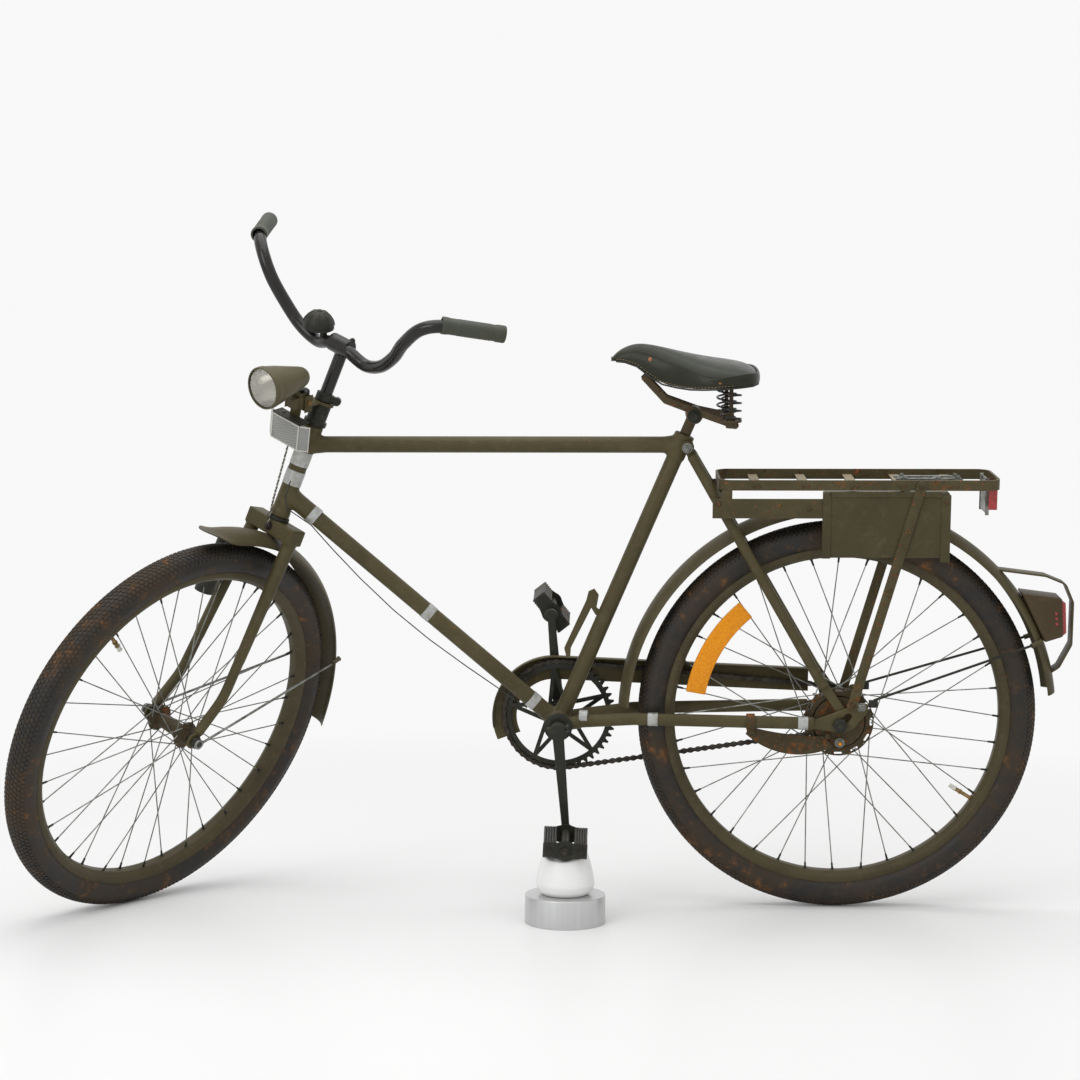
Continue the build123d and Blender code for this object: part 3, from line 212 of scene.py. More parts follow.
# Main frame: round steel tubes brazed into a head tube, a seat lug and a bracket shell, so that paint runs
# over soft fillets where they meet. Sprayed olive, later chipped, dusty and rust flecked.
def wear_group(name, inputs):
    """A shader node group: (name, value) inputs, and a colour, a roughness and a bump height out of it."""
    tree = bpy.data.node_groups.new(name, "ShaderNodeTree")
    for label, value in inputs:
        kind = "NodeSocketFloat" if isinstance(value, float) else "NodeSocketColor"
        tree.interface.new_socket(label, in_out="INPUT", socket_type=kind).default_value = value
    for label, kind in (("Color", "Color"), ("Roughness", "Float"), ("Height", "Float")):
        tree.interface.new_socket(label, in_out="OUTPUT", socket_type=f"NodeSocket{kind}")
    return tree, tree.nodes.new("NodeGroupInput").outputs, tree.nodes.new("NodeGroupOutput").inputs


def blend(tree, share, first, second):
    """Mixes two colours, given as triples or outputs, by a share; hands back the colour."""
    node = add(tree, "ShaderNodeMix", {"data_type": "RGBA"})
    for place, value in ((0, share), (6, first), (7, second)):
        feed(tree, node.inputs[place], (*value, 1) if isinstance(value, tuple) else value)
    return node.outputs[2]


def cloud(tree, scale, detail=3.0, roughness=0.55):
    """Noise over the piece's own coordinates; scale counts features to a metre."""
    return add(tree, "ShaderNodeTexNoise", None, Vector=own(tree), Scale=scale, Detail=detail,
               Roughness=roughness).outputs["Fac"]


RUST_DARK, RUST_BRIGHT, DUST = (0.050, 0.024, 0.011), (0.24, 0.085, 0.024), (0.19, 0.155, 0.095)
worn_paint, given, made = wear_group(
    "worn_paint", [("Paint", (0.1, 0.1, 0.1, 1)), ("Rust", 0.3), ("Dust", 0.3), ("Gloss", 0.45)])
tree = worn_paint
tone = spread(tree, cloud(tree, 7.0, 5.0, 0.62), 0.3, 0.7, 0.78, 1.22)
toned = add(tree, "ShaderNodeHueSaturation", None, Color=given["Paint"], Value=tone).outputs[0]
scuffed = spread(tree, cloud(tree, 55.0, 6.0, 0.7), 0.52, 0.68, 0.0, 0.14)
toned = blend(tree, scuffed, toned, DUST)
edge = calc(tree, "MULTIPLY_ADD", given["Rust"], -0.24, 0.735)
patch = calc(tree, "MULTIPLY", calc(tree, "SUBTRACT", cloud(tree, 26.0, 9.0, 0.74), edge), 22.0)
fleck = calc(tree, "MULTIPLY", calc(tree, "SUBTRACT", cloud(tree, 150.0, 5.0, 0.65), edge), 16.0)
rusted = add(tree, "ShaderNodeClamp", None, Value=calc(tree, "MAXIMUM", patch, fleck)).outputs[0]
rust_tone = blend(tree, spread(tree, cloud(tree, 90.0, 4.0), 0.4, 0.62), RUST_DARK, RUST_BRIGHT)
flaked = blend(tree, rusted, toned, rust_tone)
facing = add(tree, "ShaderNodeSeparateXYZ", None,
             Vector=add(tree, "ShaderNodeNewGeometry").outputs["Normal"]).outputs["Z"]
settled = calc(tree, "MULTIPLY", spread(tree, facing, 0.25, 1.0),
               spread(tree, cloud(tree, 18.0, 6.0), 0.35, 0.7, 0.25, 0.85))
settled = calc(tree, "MULTIPLY", settled, given["Dust"])
grain = cloud(tree, 700.0, 2.0)
dulled = calc(tree, "MULTIPLY_ADD", rusted, 0.32, given["Gloss"])
dusted = calc(tree, "MULTIPLY_ADD", settled, 0.22, spread(tree, grain, 0.3, 0.7, -0.06, 0.06))
sunk = calc(tree, "MULTIPLY", rusted, -0.6)
feed(tree, made["Color"], blend(tree, settled, flaked, DUST))
feed(tree, made["Roughness"], calc(tree, "ADD", dulled, dusted))
feed(tree, made["Height"], calc(tree, "ADD", sunk, calc(tree, "MULTIPLY", grain, 0.35)))


def dress(tree, shader, colour=None, roughness=None, height=None, depth=0.0005, strength=0.35):
    """Links a colour, a roughness and a bump height to a Principled shader."""
    if colour is not None:
        tree.links.new(colour, shader.inputs["Base Color"])
    if roughness is not None:
        tree.links.new(roughness, shader.inputs["Roughness"])
    if height is not None:
        bump = add(tree, "ShaderNodeBump", None, Height=height, Distance=depth, Strength=strength)
        tree.links.new(bump.outputs[0], shader.inputs["Normal"])


def painted(name, paint, rust=0.3, dust=0.3, gloss=0.42):
    """Worn paint of one colour."""
    look, tree, shader = bare_look(name, Specular_IOR_Level=0.16)
    wear = add(tree, "ShaderNodeGroup", {"node_tree": worn_paint},
               Paint=(*paint, 1), Rust=rust, Dust=dust, Gloss=gloss).outputs
    dress(tree, shader, wear["Color"], wear["Roughness"], wear["Height"])
    return look


OLIVE = painted("olive_drab_paint", (0.072, 0.060, 0.027), 0.32, 0.14)
HEAD_LEAN = math.radians(68.1)
HEAD_UP = Vector((math.cos(HEAD_LEAN), 0, math.sin(HEAD_LEAN)))
HEAD_AHEAD = Vector((-HEAD_UP.z, 0, HEAD_UP.x))
FORK_RAKE = 66.0
AXIS_FOOT = FRONT_HUB - HEAD_AHEAD * FORK_RAKE
SEAT_LEAN = math.radians(66.9)
SEAT_UP = Vector((math.cos(SEAT_LEAN), 0, math.sin(SEAT_LEAN)))
SEAT_TUBE_LONG = 551.0
TOP_TUBE_HEIGHT = 818.5
TUBE_RADIUS, HEAD_TUBE_RADIUS = 14.3, 16.0
HEAD_LOW, HEAD_TOP, DOWN_TUBE_AT = 404.0, 575.0, 446.0
LUG_WALL, FILLET = 1.6, 3.5
SHELL_HALF, SHELL_RADIUS = 34.0, 20.5


def on_axis(along, ahead=0.0, side=0.0):
    """A point of the steering head: along its axis, ahead of it and to the right."""
    return AXIS_FOOT + HEAD_UP * along + HEAD_AHEAD * ahead + Vector((0, side, 0))


TOP_JOINT = on_axis((TOP_TUBE_HEIGHT - AXIS_FOOT.z) / HEAD_UP.z)
SEAT_JOINT = BRACKET + SEAT_UP * ((TOP_TUBE_HEIGHT - BRACKET.z) / SEAT_UP.z)
SEAT_TOP = BRACKET + SEAT_UP * SEAT_TUBE_LONG
DOWN_JOINT = on_axis(DOWN_TUBE_AT)
DOWN_RUN = (BRACKET - DOWN_JOINT).normalized()


def skin(shape, rings):
    """Faces between rings of corners, with the first and last ring capped."""
    for here, there in zip(rings, rings[1:]):
        for index in range(len(here)):
            after = (index + 1) % len(here)
            shape.faces.new((here[index], here[after], there[after], there[index]))
    shape.faces.new(rings[0])
    shape.faces.new(list(reversed(rings[-1])))


def circle(radius, sides=16):
    """Corners of a round outline."""
    turns = [2 * math.pi * k / sides for k in range(sides)]
    return [(radius * math.cos(turn), radius * math.sin(turn)) for turn in turns]


def sweep(shape, points, section, top=Vector((0, 0, 1))):
    """A bar along points; section is its outline, or a function of the share of the way along."""
    rings = []
    last = len(points) - 1
    for index, point in enumerate(points):
        run = (points[min(index + 1, last)] - points[max(index - 1, 0)]).normalized()
        across = run.cross(top).normalized()
        rise = across.cross(run)
        outline = section(index / last) if callable(section) else section
        rings.append([shape.verts.new(point + across * a + rise * b) for a, b in outline])
    skin(shape, rings)


def rod(shape, start, end, radius, end_radius=None, sides=24):
    """A round bar from point to point, tapered where the end has its own radius."""
    start, end = Vector(start), Vector(end)
    far = radius if end_radius is None else end_radius
    top = Vector((0, 1, 0)) if abs((end - start).normalized().y) < 0.9 else Vector((0, 0, 1))
    sweep(shape, [start, end], lambda share: circle(radius + (far - radius) * share, sides), top)


def evaluated(carrier):
    """What an object's modifiers make of its mesh, as a bmesh; the object and its mesh are used up."""
    mesh = carrier.data
    done = bpy.data.meshes.new_from_object(carrier.evaluated_get(bpy.context.evaluated_depsgraph_get()))
    bpy.data.objects.remove(carrier)
    bpy.data.meshes.remove(mesh)
    shape = bmesh.new()
    shape.from_mesh(done)
    bpy.data.meshes.remove(done)
    return shape


def grown(source, steps):
    """A bmesh put through modifiers, given as (kind, settings), and handed back as a bmesh."""
    mesh = bpy.data.meshes.new("rough")
    source.to_mesh(mesh)
    source.free()
    carrier = linked("rough", mesh)
    for kind, settings in steps:
        step = carrier.modifiers.new(kind, kind)
        for key, value in settings.items():
            setattr(step, key, value)
    return evaluated(carrier)


def melted(source, voxel, rounds):
    """Closed shapes melted into one skin, with soft fillets where they meet."""
    return grown(source, [("REMESH", {"mode": "VOXEL", "voxel_size": voxel}),
                          ("SMOOTH", {"factor": 0.5, "iterations": rounds})])


def softened(source, width, segments=2):
    """Edges broken by a small round."""
    return grown(source, [("BEVEL", {"width": width, "segments": segments, "limit_method": "ANGLE",
                                     "angle_limit": math.radians(38), "use_clamp_overlap": True})])


def settle(name, shape, body, look, slot, *nodes, sharp=40.0):
    """Sets a drawn shape into its body's stance, as a finished piece that stands for CAD nodes."""
    bmesh.ops.remove_doubles(shape, verts=shape.verts, dist=0.002)
    bmesh.ops.recalc_face_normals(shape, faces=shape.faces)
    mesh = bpy.data.meshes.new(name)
    shape.to_mesh(mesh)
    shape.free()
    mesh.transform(PLACE[body])
    mesh.shade_smooth()
    mesh.set_sharp_from_angle(angle=math.radians(sharp))
    mesh.materials.clear()
    mesh.materials.append(look)
    piece = linked(name, mesh)
    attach(piece, body)
    if nodes:
        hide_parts(*nodes)
    return piece


tubes = bmesh.new()
rod(tubes, on_axis(HEAD_LOW), on_axis(HEAD_TOP), HEAD_TUBE_RADIUS)
rod(tubes, on_axis(HEAD_LOW), on_axis(HEAD_LOW + 12), HEAD_TUBE_RADIUS + LUG_WALL)
rod(tubes, on_axis(HEAD_TOP - 10), on_axis(HEAD_TOP), HEAD_TUBE_RADIUS + LUG_WALL)
# Joint of a tube, its far end, and the length of the fillet at each
for start, end, near, far in ((TOP_JOINT, SEAT_JOINT, 34, 30), (DOWN_JOINT, BRACKET, 40, 36),
                              (BRACKET, SEAT_TOP, 36, 0)):
    way = (end - start).normalized()
    rod(tubes, start, end, TUBE_RADIUS)
    rod(tubes, start, start + way * near, TUBE_RADIUS + FILLET, TUBE_RADIUS)
    if far:
        rod(tubes, end, end - way * far, TUBE_RADIUS + FILLET, TUBE_RADIUS)
rod(tubes, DOWN_JOINT, DOWN_JOINT + DOWN_RUN * 62, TUBE_RADIUS + LUG_WALL)
rod(tubes, SEAT_JOINT - SEAT_UP * 24, SEAT_TOP, TUBE_RADIUS + 2)
rod(tubes, SEAT_TOP - SEAT_UP * 9, SEAT_TOP, TUBE_RADIUS + 3.4)
rod(tubes, BRACKET - Vector((0, SHELL_HALF, 0)), BRACKET + Vector((0, SHELL_HALF, 0)), SHELL_RADIUS)
for side in SIDES:
    rod(tubes, BRACKET + Vector((6, side * 20, 1)), BRACKET + Vector((40, side * 24.6, 7)), 12.4, 11.6)
settle("main_frame", melted(tubes, 2.0, 9), "frame", OLIVE, "olive_paint",
       "head_tube", "top_tube", "down_tube", "seat_tube", "bottom_bracket", sharp=60)
# Flat pump hook riveted ahead of the seat tube; corners are (x, z)
HOOK = [(-400, 518), (-418, 534), (-414, 556), (-421, 566), (-430, 562), (-434, 546), (-472, 462),
        (-468, 446), (-463, 450), (-462, 464), (-426, 536), (-419, 524), (-402, 509)]


def slab(shape, outline, low, high, place=Matrix.Identity(4)):
    """A flat plate: an (x, z) outline between two sides."""
    skin(shape, [[shape.verts.new(place @ Vector((x, side, z))) for x, z in outline] for side in (low, high)])


hook = bmesh.new()
slab(hook, HOOK, -4, 4)
settle("pump_hook", softened(hook, 0.8), "frame", OLIVE, "olive_paint")
# Bracket cups, with a lock ring and a domed face on each side; corners are (radius, distance out)
DARK_METAL = painted("dark_green_black", (0.024, 0.025, 0.020), 0.26, 0.14, 0.40)
CUP_PROFILE = [(9.6, SHELL_HALF), (24.5, SHELL_HALF), (24.5, 37.5), (22.5, 39), (13, 39.5), (9.6, 38.5)]


def lathe(shape, profile, place=Matrix.Identity(4), segments=64, closed=True):
    """A turned shape: (radius, side) corners about the local Y axis."""
    rings = []
    for index in range(segments):
        turn = 2 * math.pi * index / segments
        rings.append([shape.verts.new(place @ Vector((r * math.cos(turn), side, r * math.sin(turn))))
                      for r, side in profile])
    for index, here in enumerate(rings):
        there = rings[(index + 1) % segments]
        for k in range(len(profile) if closed else len(profile) - 1):
            after = (k + 1) % len(profile)
            shape.faces.new((here[k], here[after], there[after], there[k]))


def at(point):
    """A place without a turn."""
    return Matrix.Translation(Vector(point))


cups = bmesh.new()
for side in SIDES:
    lathe(cups, [(radius, side * out) for radius, out in CUP_PROFILE], at(BRACKET))
settle("bracket_cups", cups, "frame", DARK_METAL, "dark_metal")


# Silver marking tape: short bands wound round the head tube, the down tube and the left chainstay.
# Matt reflective plastic, grubby at the edges.
def tarnished(name, clouds, limits, first, second, roughness, bump, strength=0.35, **fixed):
    """A look that passes from one colour and roughness to another in clouds, with a fine grain."""
    look, tree, shader = bare_look(name, **fixed)
    share = spread(tree, cloud(tree, *clouds), *limits)
    dress(tree, shader, blend(tree, share, first, second), spread(tree, share, 0, 1, *roughness),
          cloud(tree, bump), 0.0003, strength)
    return look


TAPE = tarnished("silver_tape", (60.0, 6.0, 0.7), (0.42, 0.75), (0.42, 0.43, 0.42), (0.22, 0.21, 0.17),
                 (0.34, 0.6), 300.0, Metallic=0.25)
TAPE_WALL = 0.7
bands = bmesh.new()
# Tube start, its way, radius, first and last distance along it
for start, way, radius, low, high in (
        (AXIS_FOOT, HEAD_UP, HEAD_TUBE_RADIUS, 464, 490), (AXIS_FOOT, HEAD_UP, HEAD_TUBE_RADIUS, 500, 526),
        (DOWN_JOINT, DOWN_RUN, TUBE_RADIUS + 1.4, 51, 66), (DOWN_JOINT, DOWN_RUN, TUBE_RADIUS, 310, 326),
        (DOWN_JOINT, DOWN_RUN, TUBE_RADIUS, 550, 565)):
    rod(bands, start + way * low, start + way * high, radius + TAPE_WALL, sides=40)
STAY_HALF_WIDE, STAY_HALF_TALL, STAY_LEVEL = 8.0, 11.0, 346.0


def left_stay_at(x):
    """The middle line of the left chainstay, which spreads from the bracket to the dropout."""
    side = -38.5 - (x + 350) / 306 * 25.5 if x > -350 else -24 - (x + 447) / 97 * 14.5
    return Vector((x, side, STAY_LEVEL))


for low, high in ((-446, -432), (-328, -311), (-71, -54)):
    sweep(bands, [left_stay_at(low), left_stay_at(high)],
          [(a * (STAY_HALF_WIDE + TAPE_WALL), b * (STAY_HALF_TALL + TAPE_WALL)) for a, b in circle(1.0, 32)])
settle("tape_bands", bands, "frame", TAPE, "olive_paint")


# Chainstays and seat stays: bent tubes, flattened at the ends, with the slotted dropout plates brazed to the
# chainstays and the seat stays bolted at the seat lug.
def copy_of(node):
    """A CAD node's solids as one drawing in upright millimetres."""
    shape = bmesh.new()
    shape.from_mesh(frame["nodes"][node].data)
    bmesh.ops.remove_doubles(shape, verts=shape.verts, dist=0.000004)
    bmesh.ops.transform(shape, matrix=PLACE[frame["nodes"][node]["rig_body"]].inverted(), verts=shape.verts)
    for edge in shape.edges:
        edge.smooth = True
    return shape


def cast(name, node, look, slot, voxel, rounds, sharp=60):
    """A CAD node's solids melted into one soft skin, as a finished piece."""
    settle(name, melted(copy_of(node), voxel, rounds), frame["nodes"][node]["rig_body"], look, slot, node,
           sharp=sharp)


def pressed(name, node, look, slot, width, segments=2):
    """A CAD node's solids with flat faces joined and edges rounded, as a finished piece."""
    shape = copy_of(node)
    bmesh.ops.dissolve_limit(shape, angle_limit=math.radians(0.6), verts=shape.verts, edges=shape.edges)
    settle(name, softened(shape, width, segments), frame["nodes"][node]["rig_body"], look, slot, node)


for side_name in ("left", "right"):
    for node in (f"chainstay_{side_name}", f"seat_stay_{side_name}"):
        cast(f"{node}_tube", node, OLIVE, "olive_paint", 1.5, 5)

# Tyres: black rubber carcass with a round tread of small six-sided blocks and two moulded lines on the wall,
# dusty brown from the road.
road_grime, given, made = wear_group("road_grime", [("Rubber", (0.03, 0.03, 0.03, 1)), ("Dirt", 0.5)])
tree = road_grime
smear = spread(tree, cloud(tree, 9.0, 6.0, 0.65), 0.42, 0.62)
specks = spread(tree, cloud(tree, 120.0, 6.0, 0.7), 0.54, 0.66)
dirty = calc(tree, "MULTIPLY", calc(tree, "MULTIPLY_ADD", specks, 0.7, calc(tree, "MULTIPLY", smear, 0.9)),
             given["Dirt"])
mud = blend(tree, spread(tree, cloud(tree, 45.0, 5.0), 0.55, 0.72), (0.062, 0.038, 0.017),
            (0.26, 0.11, 0.028))
feed(tree, made["Color"], blend(tree, dirty, given["Rubber"], mud))
feed(tree, made["Roughness"], spread(tree, dirty, 0, 1, 0.46, 0.92))
feed(tree, made["Height"], calc(tree, "ADD", cloud(tree, 500.0, 3.0), calc(tree, "MULTIPLY", dirty, 0.6)))


def rubber(name, colour, dirt):
    """Rubber of one colour under road dirt."""
    look, tree, shader = bare_look(name, Specular_IOR_Level=0.35)
    worn = add(tree, "ShaderNodeGroup", {"node_tree": road_grime}, Rubber=(*colour, 1), Dirt=dirt).outputs
    dress(tree, shader, worn["Color"], worn["Roughness"], worn["Height"], 0.0004)
    return look


def geometry_tree(name, **inputs):
    """A Geometry Nodes tree with named inputs of given kinds, and its input and output sockets."""
    tree = bpy.data.node_groups.new(name, "GeometryNodeTree")
    for label, kind in {"Geometry": "Geometry", **inputs}.items():
        tree.interface.new_socket(label, in_out="INPUT", socket_type=f"NodeSocket{kind}")
    tree.interface.new_socket("Geometry", in_out="OUTPUT", socket_type="NodeSocketGeometry")
    return tree, tree.nodes.new("NodeGroupInput").outputs, tree.nodes.new("NodeGroupOutput").inputs


def hand_out(tree, grown_shape, look, out):
    """Ends a Geometry Nodes tree: instances made real, in one material."""
    single = add(tree, "GeometryNodeRealizeInstances", None, Geometry=grown_shape)
    dressed = add(tree, "GeometryNodeSetMaterial", None, Geometry=single.outputs[0], Material=look)
    feed(tree, out, dressed.outputs[0])


def planted(tree, mesh, **values):
    """A mesh put through a Geometry Nodes tree with values for its named inputs; the mesh is used up."""
    carrier = linked("points", mesh)
    step = carrier.modifiers.new("grow", "NODES")
    step.node_group = tree
    for item in tree.interface.items_tree:
        if item.in_out == "INPUT" and item.name in values:
            step[item.identifier] = values[item.name]
    return evaluated(carrier)


set_on_points, given, made = geometry_tree("set_on_points", Piece="Object", Look="Material")
tree = set_on_points
held = add(tree, "GeometryNodeObjectInfo", None, Object=given["Piece"]).outputs["Geometry"]
way, face, size = (add(tree, "GeometryNodeInputNamedAttribute", {"data_type": kind}, Name=label).outputs[0]
                   for label, kind in (("way", "FLOAT_VECTOR"), ("face", "FLOAT_VECTOR"), ("size", "FLOAT")))
stood = add(tree, "FunctionNodeAlignRotationToVector", {"axis": "Z"}, Vector=way).outputs[0]
faced = add(tree, "FunctionNodeAlignRotationToVector", {"axis": "X", "pivot_axis": "Z"},
            Rotation=stood, Vector=face).outputs[0]
copies = add(tree, "GeometryNodeInstanceOnPoints", None, Points=given["Geometry"], Instance=held,
             Rotation=faced, Scale=size)
hand_out(tree, copies.outputs[0], given["Look"], made["Geometry"])


def repeated(piece, rows, look):
    """Copies of a small drawn piece; rows hold its place, its own Z way, its own X way and its scale."""
    mesh = bpy.data.meshes.new("template")
    piece.to_mesh(mesh)
    piece.free()
    template = linked("template", mesh)
    points = bpy.data.meshes.new("points")
    points.from_pydata([row[0] for row in rows], [], [])
    for label, column in (("way", 1), ("face", 2)):
        points.attributes.new(label, "FLOAT_VECTOR", "POINT")
        points.attributes[label].data.foreach_set("vector", [v for row in rows for v in row[column]])
    points.attributes.new("size", "FLOAT", "POINT")
    points.attributes["size"].data.foreach_set("value", [row[3] for row in rows])
    shape = planted(set_on_points, points, Piece=template, Look=look)
    bpy.data.objects.remove(template)
    bpy.data.meshes.remove(mesh)
    return shape


TYRE = rubber("dusty_tyre", (0.013, 0.0115, 0.0095), 0.62)
CARCASS_RADIUS, SECTION_RADIUS = 318.0, 25.2
BEAD_ANGLE, HALF_SECTION = math.radians(141), 36
BLOCK_ROWS, BLOCKS_ROUND, BLOCK_STEP, BLOCK_TALL = 9, 236, math.radians(14.5), 1.3
WALL_LINES, LINE_WIDTH, LINE_TALL = (math.radians(88), math.radians(118)), math.radians(3.2), 0.5
WHEELS = (("rear", REAR_HUB, "rear_wheel"), ("front", FRONT_HUB, "front_wheel"))


def stacked(shape, sides, levels):
    """A stack of (radius, height) rings along Z with a given number of sides."""
    skin(shape, [[shape.verts.new((x, y, height)) for x, y in circle(radius, sides)]
                 for radius, height in levels])


def round_hub(hub, radius, angle, side):
    """A point at a radius and an angle round a hub."""
    return Vector((hub.x + radius * math.cos(angle), side, hub.z + radius * math.sin(angle)))


for wheel, hub, body in WHEELS:
    profile = []
    for k in range(2 * HALF_SECTION + 1):
        angle = BEAD_ANGLE * (k / HALF_SECTION - 1)
        line = max(max(0.0, 1 - abs(abs(angle) - at_line) / LINE_WIDTH) for at_line in WALL_LINES)
        reach = SECTION_RADIUS + LINE_TALL * line
        profile.append((CARCASS_RADIUS + reach * math.cos(angle), reach * math.sin(angle)))
    carcass = bmesh.new()
    lathe(carcass, profile, at(hub), 168)
    settle(f"{wheel}_tyre_carcass", carcass, body, TYRE, "tyre_rubber", f"{wheel}_tyre", sharp=50)
    block = bmesh.new()
    stacked(block, 6, ((3.7, -0.6), (3.5, 0.75 * BLOCK_TALL), (2.7, BLOCK_TALL)))
    rows = []
    for row in range(BLOCK_ROWS):
        tilt = BLOCK_STEP * (row - BLOCK_ROWS // 2)
        for index in range(BLOCKS_ROUND):
            turn = 2 * math.pi * (index + 0.5 * (row % 2)) / BLOCKS_ROUND
            outward = Vector((math.cos(turn) * math.cos(tilt), math.sin(tilt),
                              math.sin(turn) * math.cos(tilt)))
            rows.append((round_hub(hub, CARCASS_RADIUS, turn, 0) + outward * SECTION_RADIUS, outward,
                         (-math.sin(turn), 0, math.cos(turn)), 1.0))
    settle(f"{wheel}_tyre_tread", repeated(block, rows, TYRE), body, TYRE, "tyre_rubber", sharp=25)


# Wire wheels: a rolled steel rim in olive paint, 36 zinc spokes laced tangentially from the hub flanges, a
# dark nipple at each spoke, and a brass valve with a white cap.
def mottled(name, scale, first, second, rough_scale, roughness, limits=(0.0, 1.0), **fixed):
    """A look whose colour and roughness drift in clouds of their own."""
    look, tree, shader = bare_look(name, **fixed)
    share = spread(tree, cloud(tree, scale, 4.0), *limits)
    dress(tree, shader, blend(tree, share, first, second),
          spread(tree, cloud(tree, rough_scale), 0.3, 0.7, *roughness))
    return look


ZINC = tarnished("dull_zinc", (40.0, 5.0, 0.65), (0.4, 0.7), (0.26, 0.27, 0.25), (0.085, 0.078, 0.06),
                 (0.36, 0.6), 350.0, Metallic=0.85)
RIM_PAINT = painted("rim_paint", (0.064, 0.053, 0.027), 0.42, 0.12)
SPOKE_COUNT, SPOKE_RADIUS, SPOKE_LEAD, SPOKE_HEAD = 36, 1.05, math.radians(62), 281.5
RIM_PROFILE = [(298.8, 14.0), (299.4, 15.4), (298.8, 16.8), (297, 17.2), (291, 16.9), (288, 15.8),
               (285.6, 13.0), (283, 9.6), (281.2, 8.2), (280.8, 5.0)]
RIM_INSIDE = [(287, -12.5), (284, 0), (287, 12.5)]
NIPPLE_LONG = 12.0
FLANGES = {"rear": ((-43, 60.0), (32, 30.0)), "front": ((-34, 24.0), (34, 24.0))}
for wheel, hub, body in WHEELS:
    rim = bmesh.new()
    outline = RIM_PROFILE + [(280.8, 0)] + [(r, -side) for r, side in reversed(RIM_PROFILE)]
    lathe(rim, outline + RIM_INSIDE, at(hub), 144)
    settle(f"{wheel}_rim_band", rim, body, RIM_PAINT, "olive_paint", f"{wheel}_rim", sharp=50)
    wires, nipples = bmesh.new(), []
    for index in range(SPOKE_COUNT):
        flange_side, flange_radius = FLANGES[wheel][index % 2]
        rim_turn = 2 * math.pi * index / SPOKE_COUNT
        hub_turn = rim_turn + (SPOKE_LEAD if index % 4 < 2 else -SPOKE_LEAD)
        foot = round_hub(hub, flange_radius - 3.0, hub_turn, flange_side)
        head = round_hub(hub, SPOKE_HEAD, rim_turn, math.copysign(4, flange_side))
        out = 2.4 * (1 if index % 4 in (0, 3) else -1)
        foot.y += out
        rod(wires, foot, head, SPOKE_RADIUS, sides=8)
        rod(wires, foot - Vector((0, 1.9 * out, 0)), foot + Vector((0, 0.6, 0)), SPOKE_RADIUS + 0.4, sides=8)
        nipples.append((head, (foot - head).normalized(), (0, 1, 0), 1.0))
    settle(f"{wheel}_wire_spokes", wires, body, ZINC, "zinc_wire", f"{wheel}_spokes")
    nipple = bmesh.new()
    for low, high, radius, far in ((-1.0, 2.5, 3.1, 2.6), (2.5, NIPPLE_LONG, 2.0, 1.7)):
        rod(nipple, (0, 0, low), (0, 0, high), radius, far, sides=8)
    settle(f"{wheel}_spoke_nipples", repeated(nipple, nipples, DARK_METAL), body, DARK_METAL, "dark_metal")
BRASS = tarnished("tarnished_brass", (120.0, 4.0), (0.35, 0.7), (0.33, 0.21, 0.085), (0.10, 0.065, 0.03),
                  (0.3, 0.55), 400.0, Metallic=0.8)
CAP_PLASTIC = mottled("white_cap_plastic", 120.0, (0.72, 0.71, 0.66), (0.52, 0.50, 0.44), 200.0, (0.4, 0.6),
                      Specular_IOR_Level=0.4)
VALVE_TURN = {"rear": math.radians(-32), "front": math.radians(122)}
RIM_BED = 282.0
# Distance in from the rim and radius of each step of the valve
VALVE_STEPS = ((0, 3, 5.2), (3, 22, 3.3), (22, 25, 4.2), (25, 36, 3.6), (36, 39, 2.2))
for wheel, hub, body in WHEELS:
    turn = VALVE_TURN[wheel]
    valve, cap = bmesh.new(), bmesh.new()
    for low, high, radius in VALVE_STEPS:
        rod(valve, round_hub(hub, RIM_BED - low, turn, 0), round_hub(hub, RIM_BED - high, turn, 0), radius,
            sides=16)
    settle(f"{wheel}_valve", softened(valve, 0.4), body, BRASS, "zinc_wire")
    rod(cap, round_hub(hub, RIM_BED - 34, turn, 0), round_hub(hub, RIM_BED - 45, turn, 0), 4.3, 3.6, sides=16)
    settle(f"{wheel}_valve_cap", softened(cap, 0.8), body, CAP_PLASTIC, "putty")

# Hubs: the rear one has a slotted brake drum on the left, the front one is a plain turned barrel with two
# flanges. Old paint with rust and oil.
HUB_PAINT = painted("hub_paint", (0.050, 0.039, 0.020), 0.62, 0.12, 0.5)
for wheel in ("rear", "front"):
    pressed(f"{wheel}_hub_shell", f"{wheel}_hub", HUB_PAINT, "rusty_paint", 0.5, 1)
pressed("front_axle_nuts", "front_axle", DARK_METAL, "dark_metal", 0.5, 1)

# Brake plate: a pressed disc inside the drum with a crescent torque arm, brown with rust, tied to the left
# chainstay by a strap clip. Bolts hold the stays and the arm.
BRAKE_RUST = painted("rusted_brake_plate", (0.058, 0.043, 0.021), 0.72, 0.15, 0.55)
pressed("brake_anchor", "brake_plate", BRAKE_RUST, "rusty_paint", 0.8)
pressed("rear_axle_nuts", "rear_axle", DARK_METAL, "dark_metal", 0.6)


def hex_bolt():
    """A washer, a chamfered hexagon head and a thread end, of unit radius and standing along Z."""
    shape = bmesh.new()
    rod(shape, (0, 0, -0.1), (0, 0, 0.16), 1.3, sides=20)
    stacked(shape, 6, ((1.0, 0.1), (1.0, 0.72), (0.86, 0.84)))
    rod(shape, (0, 0, 0.8), (0, 0, 1.15), 0.5, sides=12)
    return shape


def rivet():
    """A low domed head of unit radius, standing along Z."""
    shape = bmesh.new()
    stacked(shape, 16, ((1.0, -0.2), (1.0, 0.12), (0.82, 0.34), (0.45, 0.48)))
    return shape


